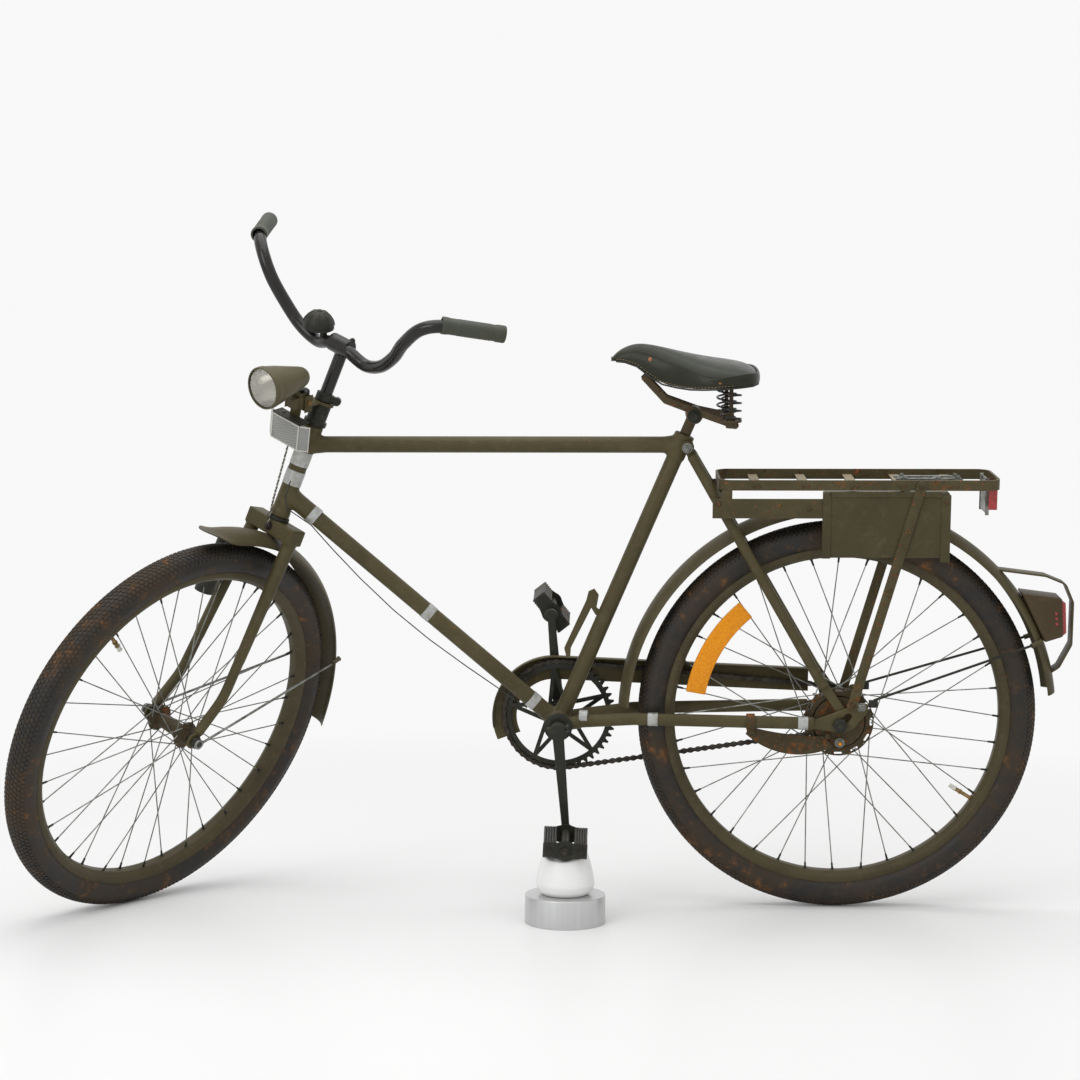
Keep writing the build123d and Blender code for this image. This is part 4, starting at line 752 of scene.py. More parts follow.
def studs(name, piece, rows, body, look, slot):
    """Bolts or rivets as one finished piece; rows hold a place, the way the head looks, its radius and, where
    it isn't +X, its own X way."""
    full = [(place, way, face[0] if face else (1, 0, 0), radius) for place, way, radius, *face in rows]
    settle(name, repeated(piece, full, look), body, look, slot, sharp=30)


OUTWARD = {side: Vector((0, side, 0)) for side in SIDES}
STAY_EYE = SEAT_JOINT + Vector((11, 0, -2))
rear_bolts = [((1, -58, 310), OUTWARD[-1], 6.6)]
for side in SIDES:
    rear_bolts += [((36, side * 66.5, 375), OUTWARD[side], 6.2),
                   ((STAY_EYE.x, side * 27.0, STAY_EYE.z), OUTWARD[side], 6.8)]
studs("rear_end_bolts", hex_bolt(), rear_bolts, "frame", ZINC, "zinc_wire")
cam_rivets = [((-19, -53.2, 320), OUTWARD[-1], 5.5), ((-33, -53.2, 312), OUTWARD[-1], 4.2)]
studs("brake_cam_rivets", rivet(), cam_rivets, "frame", BRAKE_RUST, "rusty_paint")


# Amber reflector: a curved bar of prismatic plastic clipped on the rear spokes, with one screw. A small cap
# of the same plastic closes the brake's cam.
def cells(tree, scale):
    """Distance from the middles of small cells; scale counts cells to a metre."""
    return add(tree, "ShaderNodeTexVoronoi", None, Scale=scale, Vector=own(tree)).outputs["Distance"]


def prismatic(name, scale, first, second, depth, strength, **fixed):
    """Coloured plastic with moulded prisms."""
    look, tree, shader = bare_look(name, **fixed)
    prisms = cells(tree, scale)
    dress(tree, shader, blend(tree, spread(tree, prisms, 0.1, 0.7), first, second), None, prisms, depth,
          strength)
    return look


AMBER = prismatic("amber_prisms", 260.0, (0.84, 0.33, 0.004), (0.74, 0.25, 0.003), 0.0008, 0.35,
                  Roughness=0.3, Specular_IOR_Level=0.2, Coat_Weight=0.12)
pressed("amber_bar", "spoke_reflector", AMBER, "amber_reflector", 1.5, 3)
CAM_AT = Vector((1, -65.4, 310))
cam_cap = bmesh.new()
rod(cam_cap, CAM_AT, CAM_AT + OUTWARD[-1] * 2.2, 3.1, 2.4, sides=16)
settle("brake_cam_cap", cam_cap, "frame", AMBER, "amber_reflector")

# Chain: pressed link plates in pairs on riveted pins, oiled and dark. One closed loop over the chainwheel and
# the sprocket.
CHAIN_STEEL = tarnished("oiled_steel", (80.0, 5.0), (0.35, 0.68), (0.05, 0.043, 0.034), (0.020, 0.016, 0.012),
                        (0.42, 0.62), 300.0, Metallic=0.6)
CHAIN_PITCH, CHAIN_LINE, CHAINWHEEL_TEETH, SPROCKET_TEETH = 12.7, 49.0, 48, 20
PLATE_RADIUS, PLATE_WAIST, PLATE_HALF, PIN_RADIUS = 4.3, 2.2, 0.5, 1.8
big, small = (CHAIN_PITCH / (2 * math.sin(math.pi / teeth)) for teeth in (CHAINWHEEL_TEETH, SPROCKET_TEETH))
gap = REAR_HUB - BRACKET
slope = math.atan2(gap.z, gap.x)
wrap = math.acos((big - small) / gap.length)
straight = math.sqrt(gap.length ** 2 - (big - small) ** 2)
stretches = (straight, 2 * wrap * small, straight, 2 * (math.pi - wrap) * big)
pin_count = 2 * round(sum(stretches) / CHAIN_PITCH / 2)


def pin_at(index):
    """The place of one chain pin on the loop over the chainwheel and the sprocket."""
    along = sum(stretches) / pin_count * index
    if along < stretches[0]:
        turn, centre, radius, on = slope + wrap, BRACKET, big, along
    elif along < sum(stretches[:2]):
        turn, centre, radius, on = slope + wrap - (along - stretches[0]) / small, REAR_HUB, small, 0
    elif along < sum(stretches[:3]):
        turn, centre, radius, on = slope - wrap, REAR_HUB, small, along - sum(stretches[:2])
    else:
        turn, centre, radius, on = slope - wrap - (along - sum(stretches[:3])) / big, BRACKET, big, 0
    return round_hub(centre, radius, turn, CHAIN_LINE) + Vector((math.sin(turn), 0, -math.cos(turn))) * on


chain = bmesh.new()
waist = []
for end, first_turn in ((1, -110), (-1, 70)):
    turns = [math.radians(first_turn + 44 * k) for k in range(6)]
    waist += [(CHAIN_PITCH / 2 * end + PLATE_RADIUS * math.cos(turn), PLATE_RADIUS * math.sin(turn))
              for turn in turns] + [(0, PLATE_WAIST * end)]
# First pin of the inner and the outer links, distance of a plate from the middle, half length of a pin
for first_pin, inset, reach in ((0, 2.5, 2.4), (1, 3.7, 4.6)):
    link = bmesh.new()
    for side in SIDES:
        slab(link, waist, side * inset - PLATE_HALF, side * inset + PLATE_HALF)
        pin_x = side * CHAIN_PITCH / 2
        rod(link, (pin_x, -reach, 0), (pin_x, reach, 0), PIN_RADIUS, sides=8)
    rows = []
    for index in range(first_pin, pin_count, 2):
        here, there = pin_at(index), pin_at((index + 1) % pin_count)
        along = (there - here).normalized()
        rows.append(((here + there) / 2, along.cross(Vector((0, 1, 0))), along, 1.0))
    links = repeated(link, rows, CHAIN_STEEL)
    half_mesh = bpy.data.meshes.new("links")
    links.to_mesh(half_mesh)
    links.free()
    chain.from_mesh(half_mesh)
    bpy.data.meshes.remove(half_mesh)
settle("link_chain", chain, "frame", CHAIN_STEEL, "chain_steel", "chain")

# Chainwheel and cranks: a toothed steel wheel on five double arms, and forged cranks held on the axle by
# cotter pins with a nut.
pressed("toothed_wheel", "chainwheel", DARK_METAL, "dark_metal", 0.6, 1)
cast("forged_cranks", "crank_arms", DARK_METAL, "dark_metal", 1.2, 6)
CRANK_SIDE, COTTER_OFFSET = 68.5, 6
cotters = bmesh.new()
for side in SIDES:
    pin = BRACKET + Vector((0, side * CRANK_SIDE, -side * COTTER_OFFSET))
    rod(cotters, pin + Vector((-19, 0, -1.5)), pin + Vector((17, 0, 1.3)), 4.0)
    rod(cotters, pin + Vector((13.5, 0, 1)), pin + Vector((19, 0, 1.5)), 7.0, sides=6)
settle("crank_cotters", softened(cotters, 0.4, 1), "crank", DARK_METAL, "dark_metal", sharp=30)

# Pedals: two ribbed rubber blocks between pressed end plates, on a barrel; bolts hold the blocks. The left
# one rests on the plinth, the right one turns free on its spindle.
PEDAL_RUBBER = rubber("worn_pedal_rubber", (0.024, 0.024, 0.021), 0.4)
PEDAL_NEAR, PEDAL_LONG, PEDAL_SPREAD, PEDAL_PLATE = 88.0, 96.0, 26.0, 3
BLOCK_WIDE, BLOCK_HIGH, RIBS = 22.0, 26.0, 5
CRANK_DOWN = Vector((13.8, 0, -175.5))
rib = BLOCK_WIDE / RIBS
ribbed = [(sign * (-BLOCK_WIDE / 2 + rib * (k + share)), sign * (BLOCK_HIGH / 2 + height))
          for sign in (1, -1) for k in range(RIBS)
          for share, height in ((0.0, -1.6), (0.22, 0), (0.78, 0), (1.0, -1.6))]
# Outline of an end plate as arcs: middle, radius, first and last angle
dumbbell = []
for centre_x, radius, first, last in ((PEDAL_SPREAD, 9, -75, 75), (0, 17, 62, 118),
                                      (-PEDAL_SPREAD, 9, 105, 255), (0, 17, 242, 298)):
    turns = [math.radians(first + (last - first) * k / 8) for k in range(9)]
    dumbbell += [(centre_x + radius * math.cos(turn), radius * math.sin(turn)) for turn in turns]
DUST_CAP = [(0, 0), (12.5, 0), (12.5, 1.5), (10.5, 2.2), (9, 1.2), (0, 1.2)]
for name, body, side, eye, tilt in (("left_pedal", "crank", -1, BRACKET + CRANK_DOWN, 2.7),
                                    ("right_pedal", "right_pedal", 1, BRACKET - CRANK_DOWN, 52.0)):
    place = at(eye) @ Matrix.Rotation(math.radians(tilt), 4, "Y")
    blocks, metal = bmesh.new(), bmesh.new()
    for end in SIDES:
        slab(blocks, [(end * PEDAL_SPREAD + x, z) for x, z in ribbed],
             side * (PEDAL_NEAR + 3.2), side * (PEDAL_NEAR + PEDAL_LONG - 3.2), place)
    settle(f"{name}_rubbers", softened(blocks, 0.5, 1), body, PEDAL_RUBBER, "pedal_rubber", name)
    for low in (PEDAL_NEAR, PEDAL_NEAR + PEDAL_LONG - PEDAL_PLATE):
        slab(metal, dumbbell, side * low, side * (low + PEDAL_PLATE), place)
    rod(metal, place @ Vector((0, side * (PEDAL_NEAR - 13.5), 0)), place @ Vector((0, side * 181, 0)), 8.5)
    outer = side * (PEDAL_NEAR + PEDAL_LONG)
    lathe(metal, [(radius, outer + side * out) for radius, out in DUST_CAP], place, 32, closed=False)
    settle(f"{name}_plates", softened(metal, 0.5), body, DARK_METAL, "dark_metal")
    heads = [(place @ Vector((x, outer + side * out, 0)), OUTWARD[side], radius)
             for x, out, radius in ((0, 1.2, 6.4), (PEDAL_SPREAD, 0, 4.4), (-PEDAL_SPREAD, 0, 4.4))]
    studs(f"{name}_bolts", hex_bolt(), heads, body, CHAIN_STEEL, "chain_steel")

# Chain guard: a pressed sheet over the chain's top run and the front of the chainwheel, on the right side.
# Olive paint, as on the frame.
pressed("chain_case", "chain_guard", OLIVE, "olive_paint", 0.4)

# Mudguards: rolled sheet strips of arched section with a wired edge, held by stay rods from the axles. The
# front one ends above the hub in a flared lip.
REAR_GUARD_RADIUS, FRONT_GUARD_RADIUS, GUARD_HALF, GUARD_DROP, GUARD_WALL = 379.0, 373.0, 32.0, 14.0, 1.6
WIRE_DROP, WIRE_OUT, INNER_SHARE = 1.8, 0.8, 0.955
ARCH_RADIUS = (GUARD_HALF ** 2 + GUARD_DROP ** 2) / (2 * GUARD_DROP)
ARCH_STEPS, STEP_DEGREES = 16, 1.5
LIP_STEPS, LIP_RISE = 4, 7


def mudguard(hub, crown, first, last, flare):
    """An arched strip from one angle to another round a hub; flare lifts its last few degrees into a lip."""
    shape = bmesh.new()
    top, rings = [], []
    for k in range(ARCH_STEPS + 1):
        side = GUARD_HALF * (2 * k / ARCH_STEPS - 1)
        top.append((crown - ARCH_RADIUS + math.sqrt(ARCH_RADIUS ** 2 - side ** 2), side))
    wired = top[0][0] - WIRE_DROP - GUARD_WALL
    outline = top + [(wired, GUARD_HALF + WIRE_OUT)]
    outline += [(radius - GUARD_WALL, side * INNER_SHARE) for radius, side in reversed(top)]
    outline.append((wired, -GUARD_HALF - WIRE_OUT))
    steps = int((last - first) / STEP_DEGREES)
    for step in range(steps + 1):
        ring = []
        for radius, side in outline:
            end = last + flare * (2.2 - 5.5 * (side / GUARD_HALF) ** 2)
            angle = math.radians(first + (end - first) * step / steps)
            near = max(0.0, 1 - (steps - step) / LIP_STEPS)
            ring.append(shape.verts.new(round_hub(hub, radius + LIP_RISE * flare * near ** 2, angle, side)))
        rings.append(ring)
    skin(shape, rings)
    return shape


GUARD_PAINT = painted("guard_paint", (0.069, 0.058, 0.029), 0.30, 0.26)
settle("rear_guard_strip", mudguard(REAR_HUB, REAR_GUARD_RADIUS, 7.0, 177.0, 0), "frame",
       GUARD_PAINT, "olive_paint", "rear_mudguard")
settle("front_guard_strip", mudguard(FRONT_HUB, FRONT_GUARD_RADIUS, -19.0, 82.5, 1), "steering",
       GUARD_PAINT, "olive_paint", "front_mudguard")
settle("rear_guard_rods", softened(copy_of("rear_guard_stays"), 0.4, 1), "frame", DARK_METAL, "zinc_wire",
       "rear_guard_stays")
settle("front_guard_rods", softened(copy_of("front_guard_stays"), 0.3, 1), "steering", ZINC, "zinc_wire",
       "front_guard_stays")
# Clips that tie each stay rod to its guard's edge: name, hub, angle, crown radius, body
for clip_name, hub, angle, crown, body in (
        ("rear_stay_clips", REAR_HUB, 22, REAR_GUARD_RADIUS, "frame"),
        ("front_stay_clips", FRONT_HUB, 3, FRONT_GUARD_RADIUS, "steering")):
    clips = bmesh.new()
    for side in SIDES:
        rod(clips, round_hub(hub, crown - 26, math.radians(angle), side * 34.5),
            round_hub(hub, crown - 6, math.radians(angle), side * 31.0), 4.6, sides=6)
    settle(clip_name, softened(clips, 0.6), body, GUARD_PAINT, "olive_paint", sharp=30)

# Tail lamp: a pressed box on the rear mudguard with a red lens behind and three red spots on each side,
# inside a hoop of flat strip in the mudguard's paint.
LAMP_PAINT = painted("tail_lamp_paint", (0.060, 0.042, 0.022), 0.45, 0.15)
pressed("tail_lamp_box", "tail_lamp", LAMP_PAINT, "olive_paint", 4.0, 3)
pressed("tail_lamp_hoop", "tail_lamp_guard", GUARD_PAINT, "black_enamel", 0.7)
RED = prismatic("red_prisms", 240.0, (0.46, 0.025, 0.02), (0.26, 0.010, 0.008), 0.001, 0.5,
                Roughness=0.16, Coat_Weight=0.5)
lens = bmesh.new()
slab(lens, [(384.2, 494), (387.5, 497), (384.5, 548), (380.6, 551)], -21, 21)
settle("tail_lamp_lens", softened(lens, 1.2, 3), "frame", RED, "red_reflector")
spots = [((x, side * 25.9, z), OUTWARD[side], 2.5) for side in SIDES
         for x, z in ((369, 531), (370, 522), (371, 513))]
studs("tail_lamp_spots", rivet(), spots, "frame", RED, "red_reflector")

# Rack: a loop of flat strip on edge with five cross slats, two flat struts from the dropouts, a brace to the
# seat stays, and the tool box hung on its left side. Olive paint, worn to primer on the slats.
RACK_PAINT = painted("rack_paint", (0.070, 0.058, 0.027), 0.62, 0.16)
for node, piece_name in (("rack_deck", "rack_loop"), ("rack_strut_left", "left_strut"),
                         ("rack_strut_right", "right_strut"), ("rack_brace", "rack_tie")):
    pressed(piece_name, node, RACK_PAINT, "olive_paint", 0.9)
BOX_PAINT = painted("tool_box_paint", (0.066, 0.056, 0.026), 0.16, 0.14)
pressed("tool_case", "tool_box", BOX_PAINT, "olive_paint", 2.2, 3)
BOX_SIDE, FOLD_WALL = -66.3, 1.4


def brick(shape, x0, x1, z0, z1, low, high):
    """A block from one x and z to another, between two sides."""
    slab(shape, [(x0, z0), (x1, z0), (x1, z1), (x0, z1)], low, high)


# Folded edges of the box, proud of its left side: first and last x, low and high z
folds = bmesh.new()
for fold in ((-36, -24, 635, 746), (163, 177, 629, 742), (-24, 163, 740, 747)):
    brick(folds, *fold, BOX_SIDE - FOLD_WALL, BOX_SIDE + 1)
settle("tool_case_folds", softened(folds, 0.9, 3), "frame", BOX_PAINT, "olive_paint")
SLAT_PLACES, SLAT_HALF, SLAT_TOP, LOOP_SIDE = (-148, -66, 16, 96, 183), 8.0, 758.5, 66.5
SLAT_TAN = painted("bare_slat_primer", (0.27, 0.225, 0.15), 0.42, 0.2, 0.5)
slat_faces = bmesh.new()
rack_rivets = [((-59, BOX_SIDE, 719), OUTWARD[-1], 4.4), ((170, BOX_SIDE - FOLD_WALL, 730), OUTWARD[-1], 4.0)]
for x in SLAT_PLACES:
    brick(slat_faces, x - SLAT_HALF, x + SLAT_HALF, SLAT_TOP - 0.4, SLAT_TOP + 0.15,
          4 - LOOP_SIDE, LOOP_SIDE - 4)
    rack_rivets += [((x + shift, side * LOOP_SIDE, SLAT_TOP - 1.5), OUTWARD[side], 3.0)
                    for side in SIDES for shift in (-4.5, 4.5)]
# Rivets of the struts and the brace on both sides: x, distance out, z, radius
for x, out, z, radius in ((128, 70.6, 758, 5.5), (20, 70.7, 378, 6.0), (-213, 66.3, 728, 5.5)):
    rack_rivets += [((x, side * out, z), OUTWARD[side], radius) for side in SIDES]
settle("slat_faces", slat_faces, "frame", SLAT_TAN, "rusty_paint")
studs("rack_rivets", rivet(), rack_rivets, "frame", BRAKE_RUST, "rusty_paint")
CLIP_LOW, CLIP_WALL = 758.7, 2.2
clip = bmesh.new()
# Bars and ties of the spring clip: first and last x, low and high side
for x0, x1, y0, y1 in ((94, 206, -6, 5), (94, 206, 23, 34), (98, 116, 4, 24), (158, 172, 4, 24),
                       (190, 206, 4, 24)):
    brick(clip, x0, x1, CLIP_LOW, CLIP_LOW + CLIP_WALL, y0, y1)
settle("rack_spring_clip", softened(clip, 0.6), "frame", ZINC, "zinc_wire", "rack_clip")
clip_bolts = [((x, y, CLIP_LOW + CLIP_WALL), (0, 0, 1), 4.2)
              for x, y in ((107, -0.5), (165, -0.5), (198, -0.5), (107, 28.5), (198, 28.5))]
studs("rack_clip_bolts", hex_bolt(), clip_bolts, "frame", ZINC, "zinc_wire")
# Rear reflector: a red block on a grey stand plate; first and last x, low and high z, half width
for piece_name, look, slot, block_size, half, nodes in (
        ("reflector_stand", ZINC, "zinc_wire", (242.5, 246.2, 704, 765), 30, ()),
        ("rear_red_reflector", RED, "red_reflector", (246.2, 257.8, 715, 755), 42, ("rear_reflector",))):
    block = bmesh.new()
    brick(block, *block_size, -half, half)
    settle(piece_name, softened(block, 1.4, 3), "frame", look, slot, *nodes)

# Saddle: rusty flat bars in a clamp on the seat post, two black coil springs, and a padded dark green vinyl
# cover, piped and stitched along its lower edge and riveted at the sides.
SADDLE_RUST = painted("saddle_bar_paint", (0.068, 0.050, 0.026), 0.56, 0.16)
cast("saddle_bars", "saddle_frame", SADDLE_RUST, "rusty_paint", 1.2, 4)
BLACK_ENAMEL = tarnished("black_enamel", (70.0, 7.0, 0.75), (0.58, 0.74), (0.012, 0.011, 0.010),
                         (0.060, 0.048, 0.034), (0.26, 0.55), 350.0, 0.25,
                         Specular_IOR_Level=0.2, Coat_Weight=0.3, Coat_Roughness=0.12)
SPRING_LOW, SPRING_HIGH, SPRING_RADIUS, SPRING_WIRE, SPRING_TURNS = 872.0, 924.5, 18.0, 3.6, 4.0
SPRING_X, SPRING_SIDE = -193, 68
coil_wire, given, made = geometry_tree("coil_wire", Turns="Float", Radius="Float", Height="Float",
                                       Wire="Float", Look="Material")
spiral = add(coil_wire, "GeometryNodeCurveSpiral", None, Resolution=40, Rotations=given["Turns"],
             Start_Radius=given["Radius"], End_Radius=given["Radius"], Height=given["Height"])
ring = add(coil_wire, "GeometryNodeCurvePrimitiveCircle", None, Resolution=12, Radius=given["Wire"])
drawn = add(coil_wire, "GeometryNodeCurveToMesh", None, Curve=spiral.outputs[0],
            Profile_Curve=ring.outputs[0], Fill_Caps=True)
hand_out(coil_wire, drawn.outputs[0], given["Look"], made["Geometry"])
coil = planted(coil_wire, bpy.data.meshes.new("coil"), Turns=SPRING_TURNS,
               Radius=SPRING_RADIUS - SPRING_WIRE / 2, Height=SPRING_HIGH - SPRING_LOW, Wire=SPRING_WIRE / 2,
               Look=BLACK_ENAMEL)
spring_feet = [((SPRING_X, side * SPRING_SIDE, SPRING_LOW), (0, 0, 1), (1, 0, 0), 1.0) for side in SIDES]
springs = repeated(coil, spring_feet, BLACK_ENAMEL)
settle("coil_springs", springs, "frame", BLACK_ENAMEL, "black_enamel", "saddle_springs")
VINYL, tree, shader = bare_look("saddle_vinyl", Specular_IOR_Level=0.16, Coat_Weight=0.1, Coat_Roughness=0.14)
faded = spread(tree, cloud(tree, 12.0, 5.0, 0.6), 0.35, 0.7)
dress(tree, shader, blend(tree, faded, (0.015, 0.018, 0.010), (0.026, 0.028, 0.017)),
      spread(tree, cloud(tree, 60.0, 5.0), 0.3, 0.7, 0.30, 0.44), cells(tree, 900.0), 0.0003, 0.25)
# Columns: x, height of the crown, height of the lower edge, half width
SADDLE_STATIONS = [(-393, 966, 962, 8), (-385, 976, 961.5, 14), (-370, 986, 960.5, 19), (-350, 992, 954, 24),
                   (-330, 990.5, 939, 31), (-308, 986, 926, 42), (-285, 980.5, 922, 57),
                   (-262, 975, 920.5, 76), (-240, 970.5, 921.5, 90), (-218, 966.5, 923, 97),
                   (-196, 963.5, 924.5, 97.5), (-175, 960, 926, 92), (-158, 954.5, 927, 80),
                   (-148, 946, 929, 62)]
SECTION_STEPS = 12
ROUNDER = [("SUBSURF", {"levels": 2, "render_levels": 2})]
# Underside of a section: share of the half width, height above the lower edge
UNDERSIDE = ((0.9, 2.5), (0.45, 7), (0.0, 7), (-0.45, 7), (-0.9, 2.5))
saddle = bmesh.new()
rings = []
for x, crown, low, half in SADDLE_STATIONS:
    ring = []
    for k in range(-SECTION_STEPS, SECTION_STEPS + 1):
        turn = math.pi / 2 * k / SECTION_STEPS
        y = half * math.copysign(abs(math.sin(turn)) ** 0.9, turn)
        ring.append(saddle.verts.new((x, y, low + (crown - low) * abs(math.cos(turn)) ** 0.62)))
    ring += [saddle.verts.new((x, half * share * 0.94, low + height)) for share, height in UNDERSIDE]
    rings.append(ring)
skin(saddle, rings)
cover = settle("saddle_pad", grown(saddle, ROUNDER), "frame", VINYL, "saddle_vinyl", "saddle_cover", sharp=60)
# Raised roll round the back, which fades into the flanks; half of its route in plan
ROLL_HALF = [(-232, 91), (-218, 95.5), (-196, 96.5), (-175, 91), (-159, 79.5), (-149.5, 62), (-146.5, 40),
             (-145.5, 18)]
ROLL_LEVEL, ROLL_OUT, ROLL_TALL = 938, 3.2, 11.5
roll_line = [Vector((x, -y, ROLL_LEVEL)) for x, y in ROLL_HALF]
roll_line += [Vector((x, y, ROLL_LEVEL)) for x, y in reversed(ROLL_HALF)]


def roll_section(share):
    """Outline of the roll, which swells from nothing at both ends of its route."""
    swell = min(1.0, 5.0 * min(share, 1 - share) + 0.05)
    return [(a * ROLL_OUT * swell, b * ROLL_TALL * swell) for a, b in circle(1.0, 16)]


roll = bmesh.new()
sweep(roll, roll_line, roll_section)
settle("saddle_roll", grown(roll, ROUNDER), "frame", VINYL, "saddle_vinyl", sharp=60)
STITCH_STEP = 6.0
piping, stitches = bmesh.new(), []
for side in SIDES:
    flank = [Vector((x, side * half * 0.985, low + 0.6)) for x, crown, low, half in SADDLE_STATIONS[1:]]
    sweep(piping, flank, circle(1.5, 10))
    for here, there in zip(flank, flank[1:]):
        count = max(1, round((there - here).length / STITCH_STEP))
        stitches += [(here.lerp(there, (k + 0.5) / count) + Vector((0, side * 0.5, 4.2)),
                      (there - here).normalized(), OUTWARD[side], 1.0) for k in range(count)]
settle("saddle_piping", piping, "frame", BLACK_ENAMEL, "black_enamel")
THREAD = mottled("cream_thread", 90.0, (0.30, 0.24, 0.13), (0.13, 0.085, 0.04), 300.0, (0.7, 0.9),
                 Specular_IOR_Level=0.2)
stitch = bmesh.new()
rod(stitch, (0, 0, -1.6), (0, 0, 1.6), 0.55, sides=6)
settle("saddle_stitches", repeated(stitch, stitches, THREAD), "frame", THREAD, "saddle_vinyl")
COPPER = mottled("copper_rivet", 150.0, (0.36, 0.15, 0.055), (0.16, 0.055, 0.025), 300.0, (0.35, 0.6),
                 Metallic=0.55)
saddle_studs = [((x, side * y, z), Vector((-0.1, side * 0.95, 0.25)), radius) for side in SIDES
                for x, y, z, radius in ((-327, 28.6, 967, 4.4), (-213, 95.2, 935, 3.0))]
studs("saddle_rivets", rivet(), saddle_studs, "frame", COPPER, "rusty_paint")
SADDLE_CLAMP = SEAT_TOP + SEAT_UP * 37
clamp_nuts = [(SADDLE_CLAMP + OUTWARD[side] * 27, OUTWARD[side], 9.0) for side in SIDES]
studs("saddle_clamp_nuts", hex_bolt(), clamp_nuts, "frame", DARK_METAL, "dark_metal")
posts = bmesh.new()
for side in SIDES:
    for low, high, radius in ((868, 926, 3.5), (866, 876, 7.5)):
        rod(posts, (SPRING_X, side * SPRING_SIDE, low), (SPRING_X, side * SPRING_SIDE, high), radius)
settle("spring_posts", softened(posts, 0.8), "frame", SADDLE_RUST, "rusty_paint")

# Fork: a box crown brazed to the steerer, two tapered blades that curve ahead, and flat ends on the axle.
# Dark headset rings stand above and below the head tube, with a bolted clamp on top.
cast("front_fork", "fork", OLIVE, "olive_paint", 1.7, 6)
pressed("headset_rings", "headset", DARK_METAL, "dark_metal", 0.9)
# The clamp's ear looks to the rear left
EAR_WAY = (HEAD_AHEAD * -0.588 + Vector((0, -0.809, 0))).normalized()
EAR_ROOT, EAR_REACH, EAR_HALF = on_axis(HEAD_TOP + 51), 22, 8
ear_side = EAR_WAY.cross(HEAD_UP).normalized()
ear = EAR_ROOT + EAR_WAY * EAR_REACH
collar = bmesh.new()
rod(collar, on_axis(HEAD_TOP + 44), on_axis(HEAD_TOP + 58), 15.5)
rod(collar, ear - ear_side * EAR_HALF, ear + ear_side * EAR_HALF, 7.5)
rod(collar, EAR_ROOT + EAR_WAY * 10, ear, 6.8)
settle("head_clamp", melted(collar, 0.9, 5), "steering", DARK_METAL, "dark_metal", sharp=60)
fork_bolts = [(on_axis(384, 17), HEAD_AHEAD, 6.4, (0, 1, 0)),
              (ear - ear_side * EAR_HALF, -ear_side, 4.6, HEAD_UP)]
studs("fork_bolts", hex_bolt(), fork_bolts, "steering", CHAIN_STEEL, "chain_steel")

# Handlebar: a steel tube in black enamel, bent down beside the stem's clamp, up to the shoulders and back to
# the grips. One bolt closes the clamp.
BAR_CENTRE, BAR_RADIUS = on_axis(719.0, 8.0), 11.0
stem = bmesh.new()
rod(stem, on_axis(HEAD_TOP + 31.2), on_axis(717), 11.0)
rod(stem, BAR_CENTRE + Vector((0, -21, 0)), BAR_CENTRE + Vector((0, 21, 0)), 16.0)
settle("bar_stem", melted(stem, 1.0, 8), "steering", BLACK_ENAMEL, "black_enamel", "stem", sharp=60)
BAR_HALF = [Vector(p) for p in (
    (0, 0, 0), (-5, 25, -1), (1.7, 59.0, -13.6), (-2.7, 98.1, 1.0), (-10.8, 133.1, 33.7),
    (-20.9, 161.2, 72.2), (-16.7, 193.0, 108.6), (10.3, 228.2, 120.3), (81.2, 283.8, 112.2))]


def eased(points, steps=10):
    """A smooth line through points; both ends run straight on."""
    ends = [2 * points[0] - points[1], *points, 2 * points[-1] - points[-2]]
    line = []
    for a, b, c, d in zip(ends, ends[1:], ends[2:], ends[3:]):
        for k in range(steps):
            t = k / steps
            line.append((2 * b + (c - a) * t + (2 * a - 5 * b + 4 * c - d) * t ** 2
                         + (3 * b - a - 3 * c + d) * t ** 3) / 2)
    return line + [points[-1]]


bar_points = [Vector((p.x, -p.y, p.z)) for p in reversed(BAR_HALF[1:])] + BAR_HALF
bar_line = [BAR_CENTRE + p for p in eased(bar_points)]
handlebar = bmesh.new()
sweep(handlebar, bar_line, circle(BAR_RADIUS, 24), Vector((1, 0, 0)))
settle("bar_tube", handlebar, "steering", BLACK_ENAMEL, "black_enamel", "handlebar")
studs("bar_clamp_bolt", hex_bolt(), [(BAR_CENTRE + Vector((9, -16, 12)), (0.55, 0, 0.83), 5.0, (0, 1, 0))],
      "steering", DARK_METAL, "dark_metal")

# Grips: moulded green grey rubber sleeves with rings at both ends and a finely ribbed panel, pushed on the
# bar's ends.
GRIP = rubber("green_grey_grip", (0.046, 0.054, 0.038), 0.2)
GRIP_LONG, GRIP_RADIUS, GRIP_RIBS = 108.0, 14.5, 14
# Profile from the open end: drop below the full radius, distance along
grip_drops = [(0.8, -2), (0, 0), (0, 12), (1.0, 15)]
for k in range(GRIP_RIBS):
    grip_drops += [(drop, 22 + k * 4 + along) for drop, along in ((0.8, 0), (0.4, 1), (0.4, 2.4), (0.8, 3.4))]
grip_drops += [(0.8, 92), (0, 97), (0, GRIP_LONG - 4)]
grip_profile = [(0, -3), (10, -3)] + [(GRIP_RADIUS - drop, along) for drop, along in grip_drops]
grip_profile.append((11.2, GRIP_LONG - 3))
grips = bmesh.new()
for end, within in ((bar_line[0], bar_line[8]), (bar_line[-1], bar_line[-9])):
    turned = Vector((0, 1, 0)).rotation_difference((within - end).normalized()).to_matrix().to_4x4()
    lathe(grips, grip_profile, at(end) @ turned, 36, closed=False)
settle("bar_grips", grips, "steering", GRIP, "grip_rubber", "grips", sharp=30)

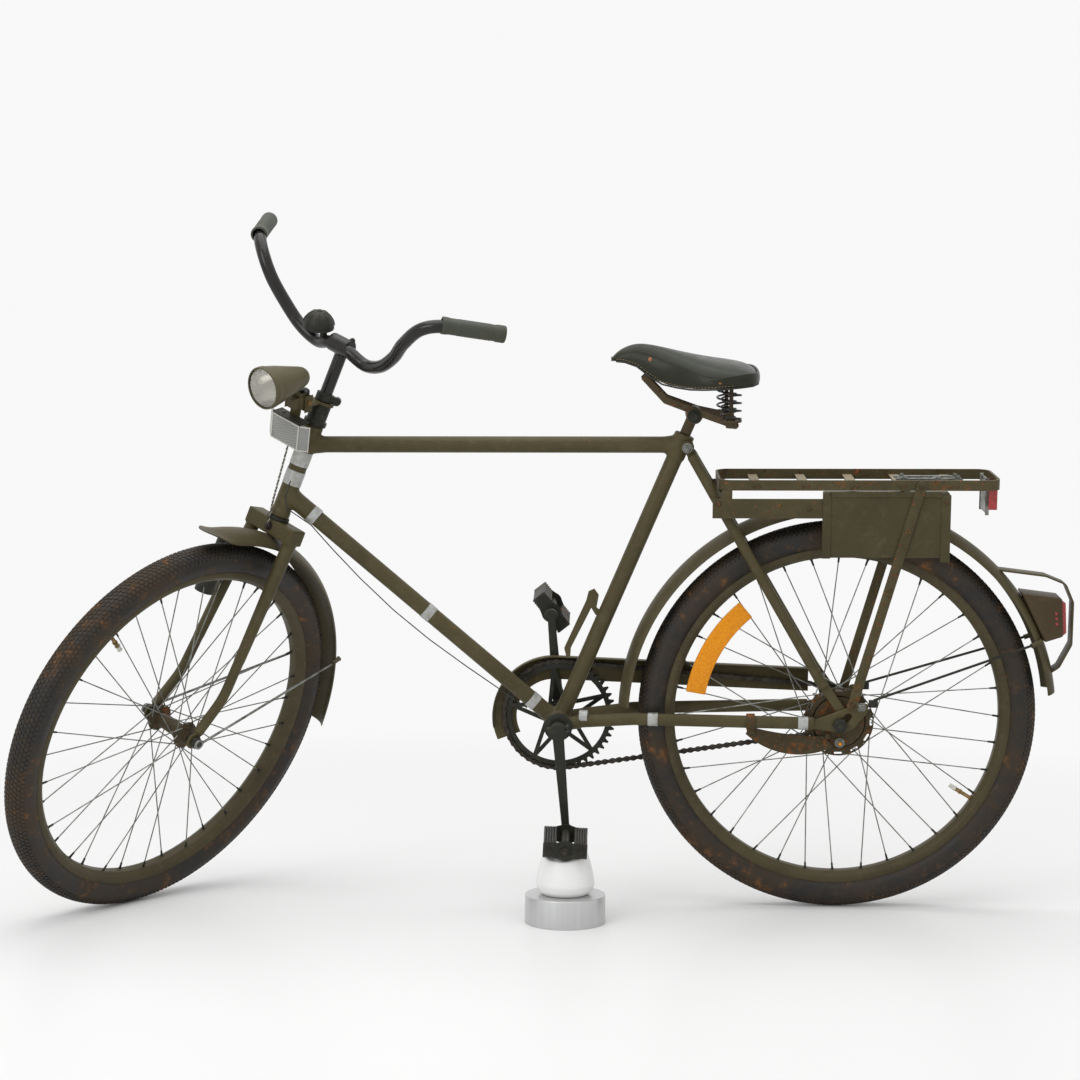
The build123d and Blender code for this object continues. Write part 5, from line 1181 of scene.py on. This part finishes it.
# Bell: a domed steel gong with fine ribs, dark, on a foot on the bar beside the clamp.
# The foot is a short round post.
BELL_AT, BELL_RIBS = BAR_CENTRE + Vector((-4, 54, 14)), 8
BELL_PROFILE = [(0, 32), (4, 32), (5, 30.5), (9, 29.5), (15, 26.5), (20.5, 22), (24.5, 16.5), (26.6, 11),
                (27, 7), (26.2, 5.5), (27, 4), (27, 1), (25.5, 0), (0, 0)]
STANDING = Matrix.Rotation(math.radians(90), 4, "X")
bell = bmesh.new()
lathe(bell, BELL_PROFILE, at(BELL_AT) @ STANDING, 48, closed=False)
rod(bell, (BELL_AT.x, 40, BAR_CENTRE.z - 4), (BELL_AT.x, 40, BELL_AT.z + 4), 6.0)
for k in range(BELL_RIBS):
    turn = 2 * math.pi * k / BELL_RIBS
    rib_line = [BELL_AT + Vector((r * math.cos(turn), r * math.sin(turn), height))
                for r, height in BELL_PROFILE[3:9]]
    sweep(bell, rib_line, circle(0.8, 8), Vector((-math.sin(turn), math.cos(turn), 0)))
settle("domed_bell", bell, "steering", DARK_METAL, "dark_metal", "bell", sharp=30)


# Headlamp: a spun conical shell in olive paint with a clear lens over a bright bowl and a bulb, on a folded
# bracket with stepped clamp blocks.
def spun(profile, place, segments):
    """A turned shape on its own, open along its axis."""
    shape = bmesh.new()
    lathe(shape, profile, place, segments, closed=False)
    return shape


SHELL_PAINT = painted("lamp_shell_paint", (0.090, 0.079, 0.044), 0.12, 0.14, 0.36)
LAMP_AT, LAMP_LONG = Vector((-980, 0, 953)), 98.0
lamp_place = at(LAMP_AT + Vector((LAMP_LONG / 2, 0, 0))) @ Matrix.Rotation(math.radians(90), 4, "Z")
shell = spun([(0, 0), (8, 0.6), (13, 3), (16.5, 8), (19, 16), (25.5, 42), (31, 64), (34, 79), (35, 86),
              (36, 88), (36.3, 92), (36, 97), (35, 98.3), (33.4, 98), (33, 91), (31, 84), (24, 60), (10, 44),
              (0, 42)], lamp_place, 64)
settle("lamp_shell", shell, "steering", SHELL_PAINT, "olive_paint", "headlamp_shell", sharp=35)
GLASS, tree, shader = bare_look("clear_lens", Roughness=0.06, IOR=1.45, Transmission_Weight=1.0,
                                Base_Color=(0.94, 0.94, 0.92, 1))
dress(tree, shader, None, None, cloud(tree, 160.0, 2.0), 0.0008, 0.25)
lens = spun([(0, 95), (20, 93.5), (32.6, 92), (32.8, 96), (26, 99.2), (14, 100.6), (0, 101)], lamp_place, 64)
settle("lamp_lens", lens, "steering", GLASS, "lamp_glass", "headlamp_lens")
BOWL = mottled("bright_bowl", 50.0, (0.86, 0.85, 0.82), (0.62, 0.60, 0.55), 30.0, (0.16, 0.3), Metallic=0.9)
bowl = spun([(32.4, 91), (29.5, 82), (23, 60), (9, 45.5), (0, 44), (0, 45), (8.5, 46.5), (22, 61),
             (28.6, 82.4), (31.6, 91)], lamp_place, 48)
settle("lamp_bowl", bowl, "steering", BOWL, "white_reflector")
bulb = spun([(0, 46), (4.5, 46), (4.5, 52), (6, 57), (5.2, 63), (2.6, 66.5), (0, 67)], lamp_place, 24)
settle("lamp_bulb", bulb, "steering", CAP_PLASTIC, "white_reflector")
pressed("lamp_carrier", "lamp_bracket", OLIVE, "olive_paint", 0.6)
# Clamp blocks below the lamp, with a black knob and two brass bolts; x and z limits, then half width
blocks = bmesh.new()
for x0, x1, z0, z1, half in ((-963, -937, 900, 918, 10), (-938, -924, 891, 919, 13),
                             (-948, -932, 911, 923, 8)):
    brick(blocks, x0, x1, z0, z1, -half, half)
settle("lamp_clamp_blocks", softened(blocks, 1.6, 3), "steering", OLIVE, "olive_paint")
knob = spun([(0, 10), (5, 9.6), (8.6, 7), (9.4, 3.5), (9.0, 0), (0, 0)], at((-931, 0, 919)) @ STANDING, 28)
settle("lamp_knob", knob, "steering", BLACK_ENAMEL, "black_enamel")
studs("lamp_bolts", hex_bolt(), [((-944, -4, 900), (0, 0, -1), 5.2), ((-931, -13, 906), OUTWARD[-1], 4.4)],
      "steering", BRASS, "zinc_wire")

# Front reflector: three faces of white prismatic plastic in one moulding below the lamp, with a border of
# small domes, under a dark plate with two screws.
WHITE_PRISM, tree, shader = bare_look("white_prisms", Specular_IOR_Level=0.3, Coat_Weight=0.25,
                                      Coat_Roughness=0.1)
prisms = cells(tree, 330.0)
grooves = add(tree, "ShaderNodeTexWave", {"wave_type": "BANDS", "bands_direction": "DIAGONAL"}, Scale=230.0,
              Vector=own(tree)).outputs["Fac"]
dress(tree, shader, blend(tree, grooves, (0.29, 0.29, 0.278), (0.19, 0.19, 0.181)),
      spread(tree, prisms, 0, 0.7, 0.12, 0.3), prisms, 0.0008, 0.4)
pressed("white_reflector", "front_reflector", WHITE_PRISM, "white_reflector", 0.8)
REFLECTOR_FRONT, REFLECTOR_BACK, REFLECTOR_LOW, REFLECTOR_TOP = -969.0, -957.4, 836.0, 880.0
DOME_STEP, DOME_RADIUS = 3.1, 1.35
LOW, TOP = Vector((0, 0, REFLECTOR_LOW)), Vector((0, 0, REFLECTOR_TOP))
corners = [Vector((x, y, 0)) for x, y in ((REFLECTOR_BACK, -47.0), (REFLECTOR_FRONT, -32),
                                          (REFLECTOR_FRONT, 32), (REFLECTOR_BACK, 47.0))]
edges = []
for here, there in zip(corners, corners[1:]):
    outward = Vector((-(there - here).y, (there - here).x, 0)).normalized()
    edges += [(here + level, there + level, outward) for level in (LOW, TOP)]
edges += [(corner + LOW, corner + TOP, Vector((-1, 0, 0))) for corner in corners]
domes = []
for here, there, outward in edges:
    count = round((there - here).length / DOME_STEP)
    domes += [(here.lerp(there, k / count), outward, DOME_RADIUS, (0, 0, 1)) for k in range(count + 1)]
studs("reflector_domes", rivet(), domes, "steering", CAP_PLASTIC, "white_reflector")
PLATE_TOP = 883.4
top_plate = bmesh.new()
brick(top_plate, -968, -946, 881.2, PLATE_TOP, -33, 33)
settle("reflector_plate", softened(top_plate, 0.5), "steering", DARK_METAL, "dark_metal")
studs("reflector_screws", rivet(), [((-956, y, PLATE_TOP), (0, 0, 1), 3.4) for y in (-19, 19)], "steering",
      BLACK_ENAMEL, "black_enamel")

# Dynamo: a bottle dynamo on the right blade with a roller at the tyre. Its lead is two twisted strands up to
# the lamp; two more leads are held along the frame.
pressed("bottle_dynamo", "dynamo", DARK_METAL, "dark_metal", 1.2, 3)
LEAD = mottled("lead_insulation", 90.0, (0.02, 0.02, 0.02), (0.07, 0.065, 0.055), 200.0, (0.4, 0.6),
               (0.4, 0.7), Specular_IOR_Level=0.4)
PALE_LEAD = mottled("pale_insulation", 90.0, (0.36, 0.34, 0.28), (0.22, 0.20, 0.15), 200.0, (0.4, 0.6),
                    Specular_IOR_Level=0.4)


def filleted(points, bends, steps=8):
    """A run of points with its corners rounded to arcs of the given radii."""
    line = [points[0]]
    for before, corner, after, bend in zip(points, points[1:], points[2:], bends):
        back, on = (before - corner).normalized(), (after - corner).normalized()
        half = back.angle(on) / 2
        reach = bend / math.tan(half)
        centre = corner + (back + on).normalized() * bend / math.sin(half)
        first, last = corner + back * reach - centre, corner + on * reach - centre
        spin = first.rotation_difference(last)
        line += [centre + Matrix.Rotation(spin.angle * k / steps, 3, spin.axis) @ first
                 for k in range(steps + 1)]
    return line + [points[-1]]


LEAD_TOP, LEAD_BEND = Vector((-954.2, 0, 845.4)), 150
lead_run = filleted([on_axis(382, 19.2), on_axis(432, 30), LEAD_TOP], [LEAD_BEND], 24)
TWIST_PITCH, STRAND_OFFSET, STRAND_RADIUS, STRAND_STEP = 13.0, 1.0, 1.05, 2.0
ACROSS = Vector((0, 1, 0))
for piece_name, look, half_turn, nodes in (("lamp_lead", LEAD, 0.0, ("dynamo_lead",)),
                                           ("lamp_lead_pale", PALE_LEAD, math.pi, ())):
    strand, gone = [], 0.0
    for here, there in zip(lead_run, lead_run[1:]):
        length = (there - here).length
        count = max(1, round(length / STRAND_STEP))
        around = (there - here).normalized().cross(ACROSS)
        for k in range(count):
            turn = 2 * math.pi * (gone + length * k / count) / TWIST_PITCH + half_turn
            strand.append(here.lerp(there, k / count) + ACROSS * STRAND_OFFSET * math.cos(turn)
                          + around * STRAND_OFFSET * math.sin(turn))
        gone += length
    twisted = bmesh.new()
    sweep(twisted, strand, circle(STRAND_RADIUS, 8), ACROSS)
    settle(piece_name, twisted, "steering", look, "lead_plastic", *nodes)
settle("frame_lead", copy_of("tail_lead"), "frame", LEAD, "lead_plastic", "tail_lead")
BELOW_TUBE = Vector((DOWN_RUN.z, 0, -DOWN_RUN.x))
head_route = [on_axis(472, 2, -16.6), on_axis(462, 2, -17.2), on_axis(446, 2, -17.4), on_axis(424, -8, -14),
              DOWN_JOINT + DOWN_RUN * 66 + BELOW_TUBE * 16]
head_lead = bmesh.new()
sweep(head_lead, filleted(head_route, (60, 20, 10)), circle(1.0, 8), ACROSS)
settle("head_lead", head_lead, "frame", LEAD, "lead_plastic")

# Plinth: a turned aluminium puck with brushed sides, whose vertical colour streaks are partly painted
# reflection, and a dome of white putty pressed up to the left pedal.
# Both stand with the frame.
PUCK, tree, shader = bare_look("brushed_aluminium_painted_sheen", Metallic=0.75)
stretched = add(tree, "ShaderNodeMapping", None, Vector=own(tree), Scale=(110.0, 110.0, 3.0)).outputs[0]
# Vertical colour streaks: partly brushing grain, partly painted reflection highlights of the surroundings.
streak_and_sheen = add(tree, "ShaderNodeTexNoise", None, Vector=stretched, Scale=1.0, Detail=3.0).outputs["Fac"]
dress(tree, shader, blend(tree, spread(tree, streak_and_sheen, 0.35, 0.65), (0.54, 0.545, 0.543), (0.57, 0.575, 0.573)),
      spread(tree, streak_and_sheen, 0.3, 0.7, 0.30, 0.36))
pressed("turned_puck", "plinth_puck", PUCK, "plinth_metal", 1.2, 3)
PUTTY, tree, shader = bare_look("white_putty", Coat_Weight=0.25, Coat_Roughness=0.25)
dress(tree, shader, blend(tree, cloud(tree, 20.0, 4.0), (0.90, 0.90, 0.89), (0.84, 0.84, 0.82)),
      spread(tree, cloud(tree, 40.0), 0.3, 0.7, 0.35, 0.55), cloud(tree, 35.0, 3.0), 0.0015, 0.4)
cast("pressed_putty", "plinth_putty", PUTTY, "putty", 1.6, 12, 70)
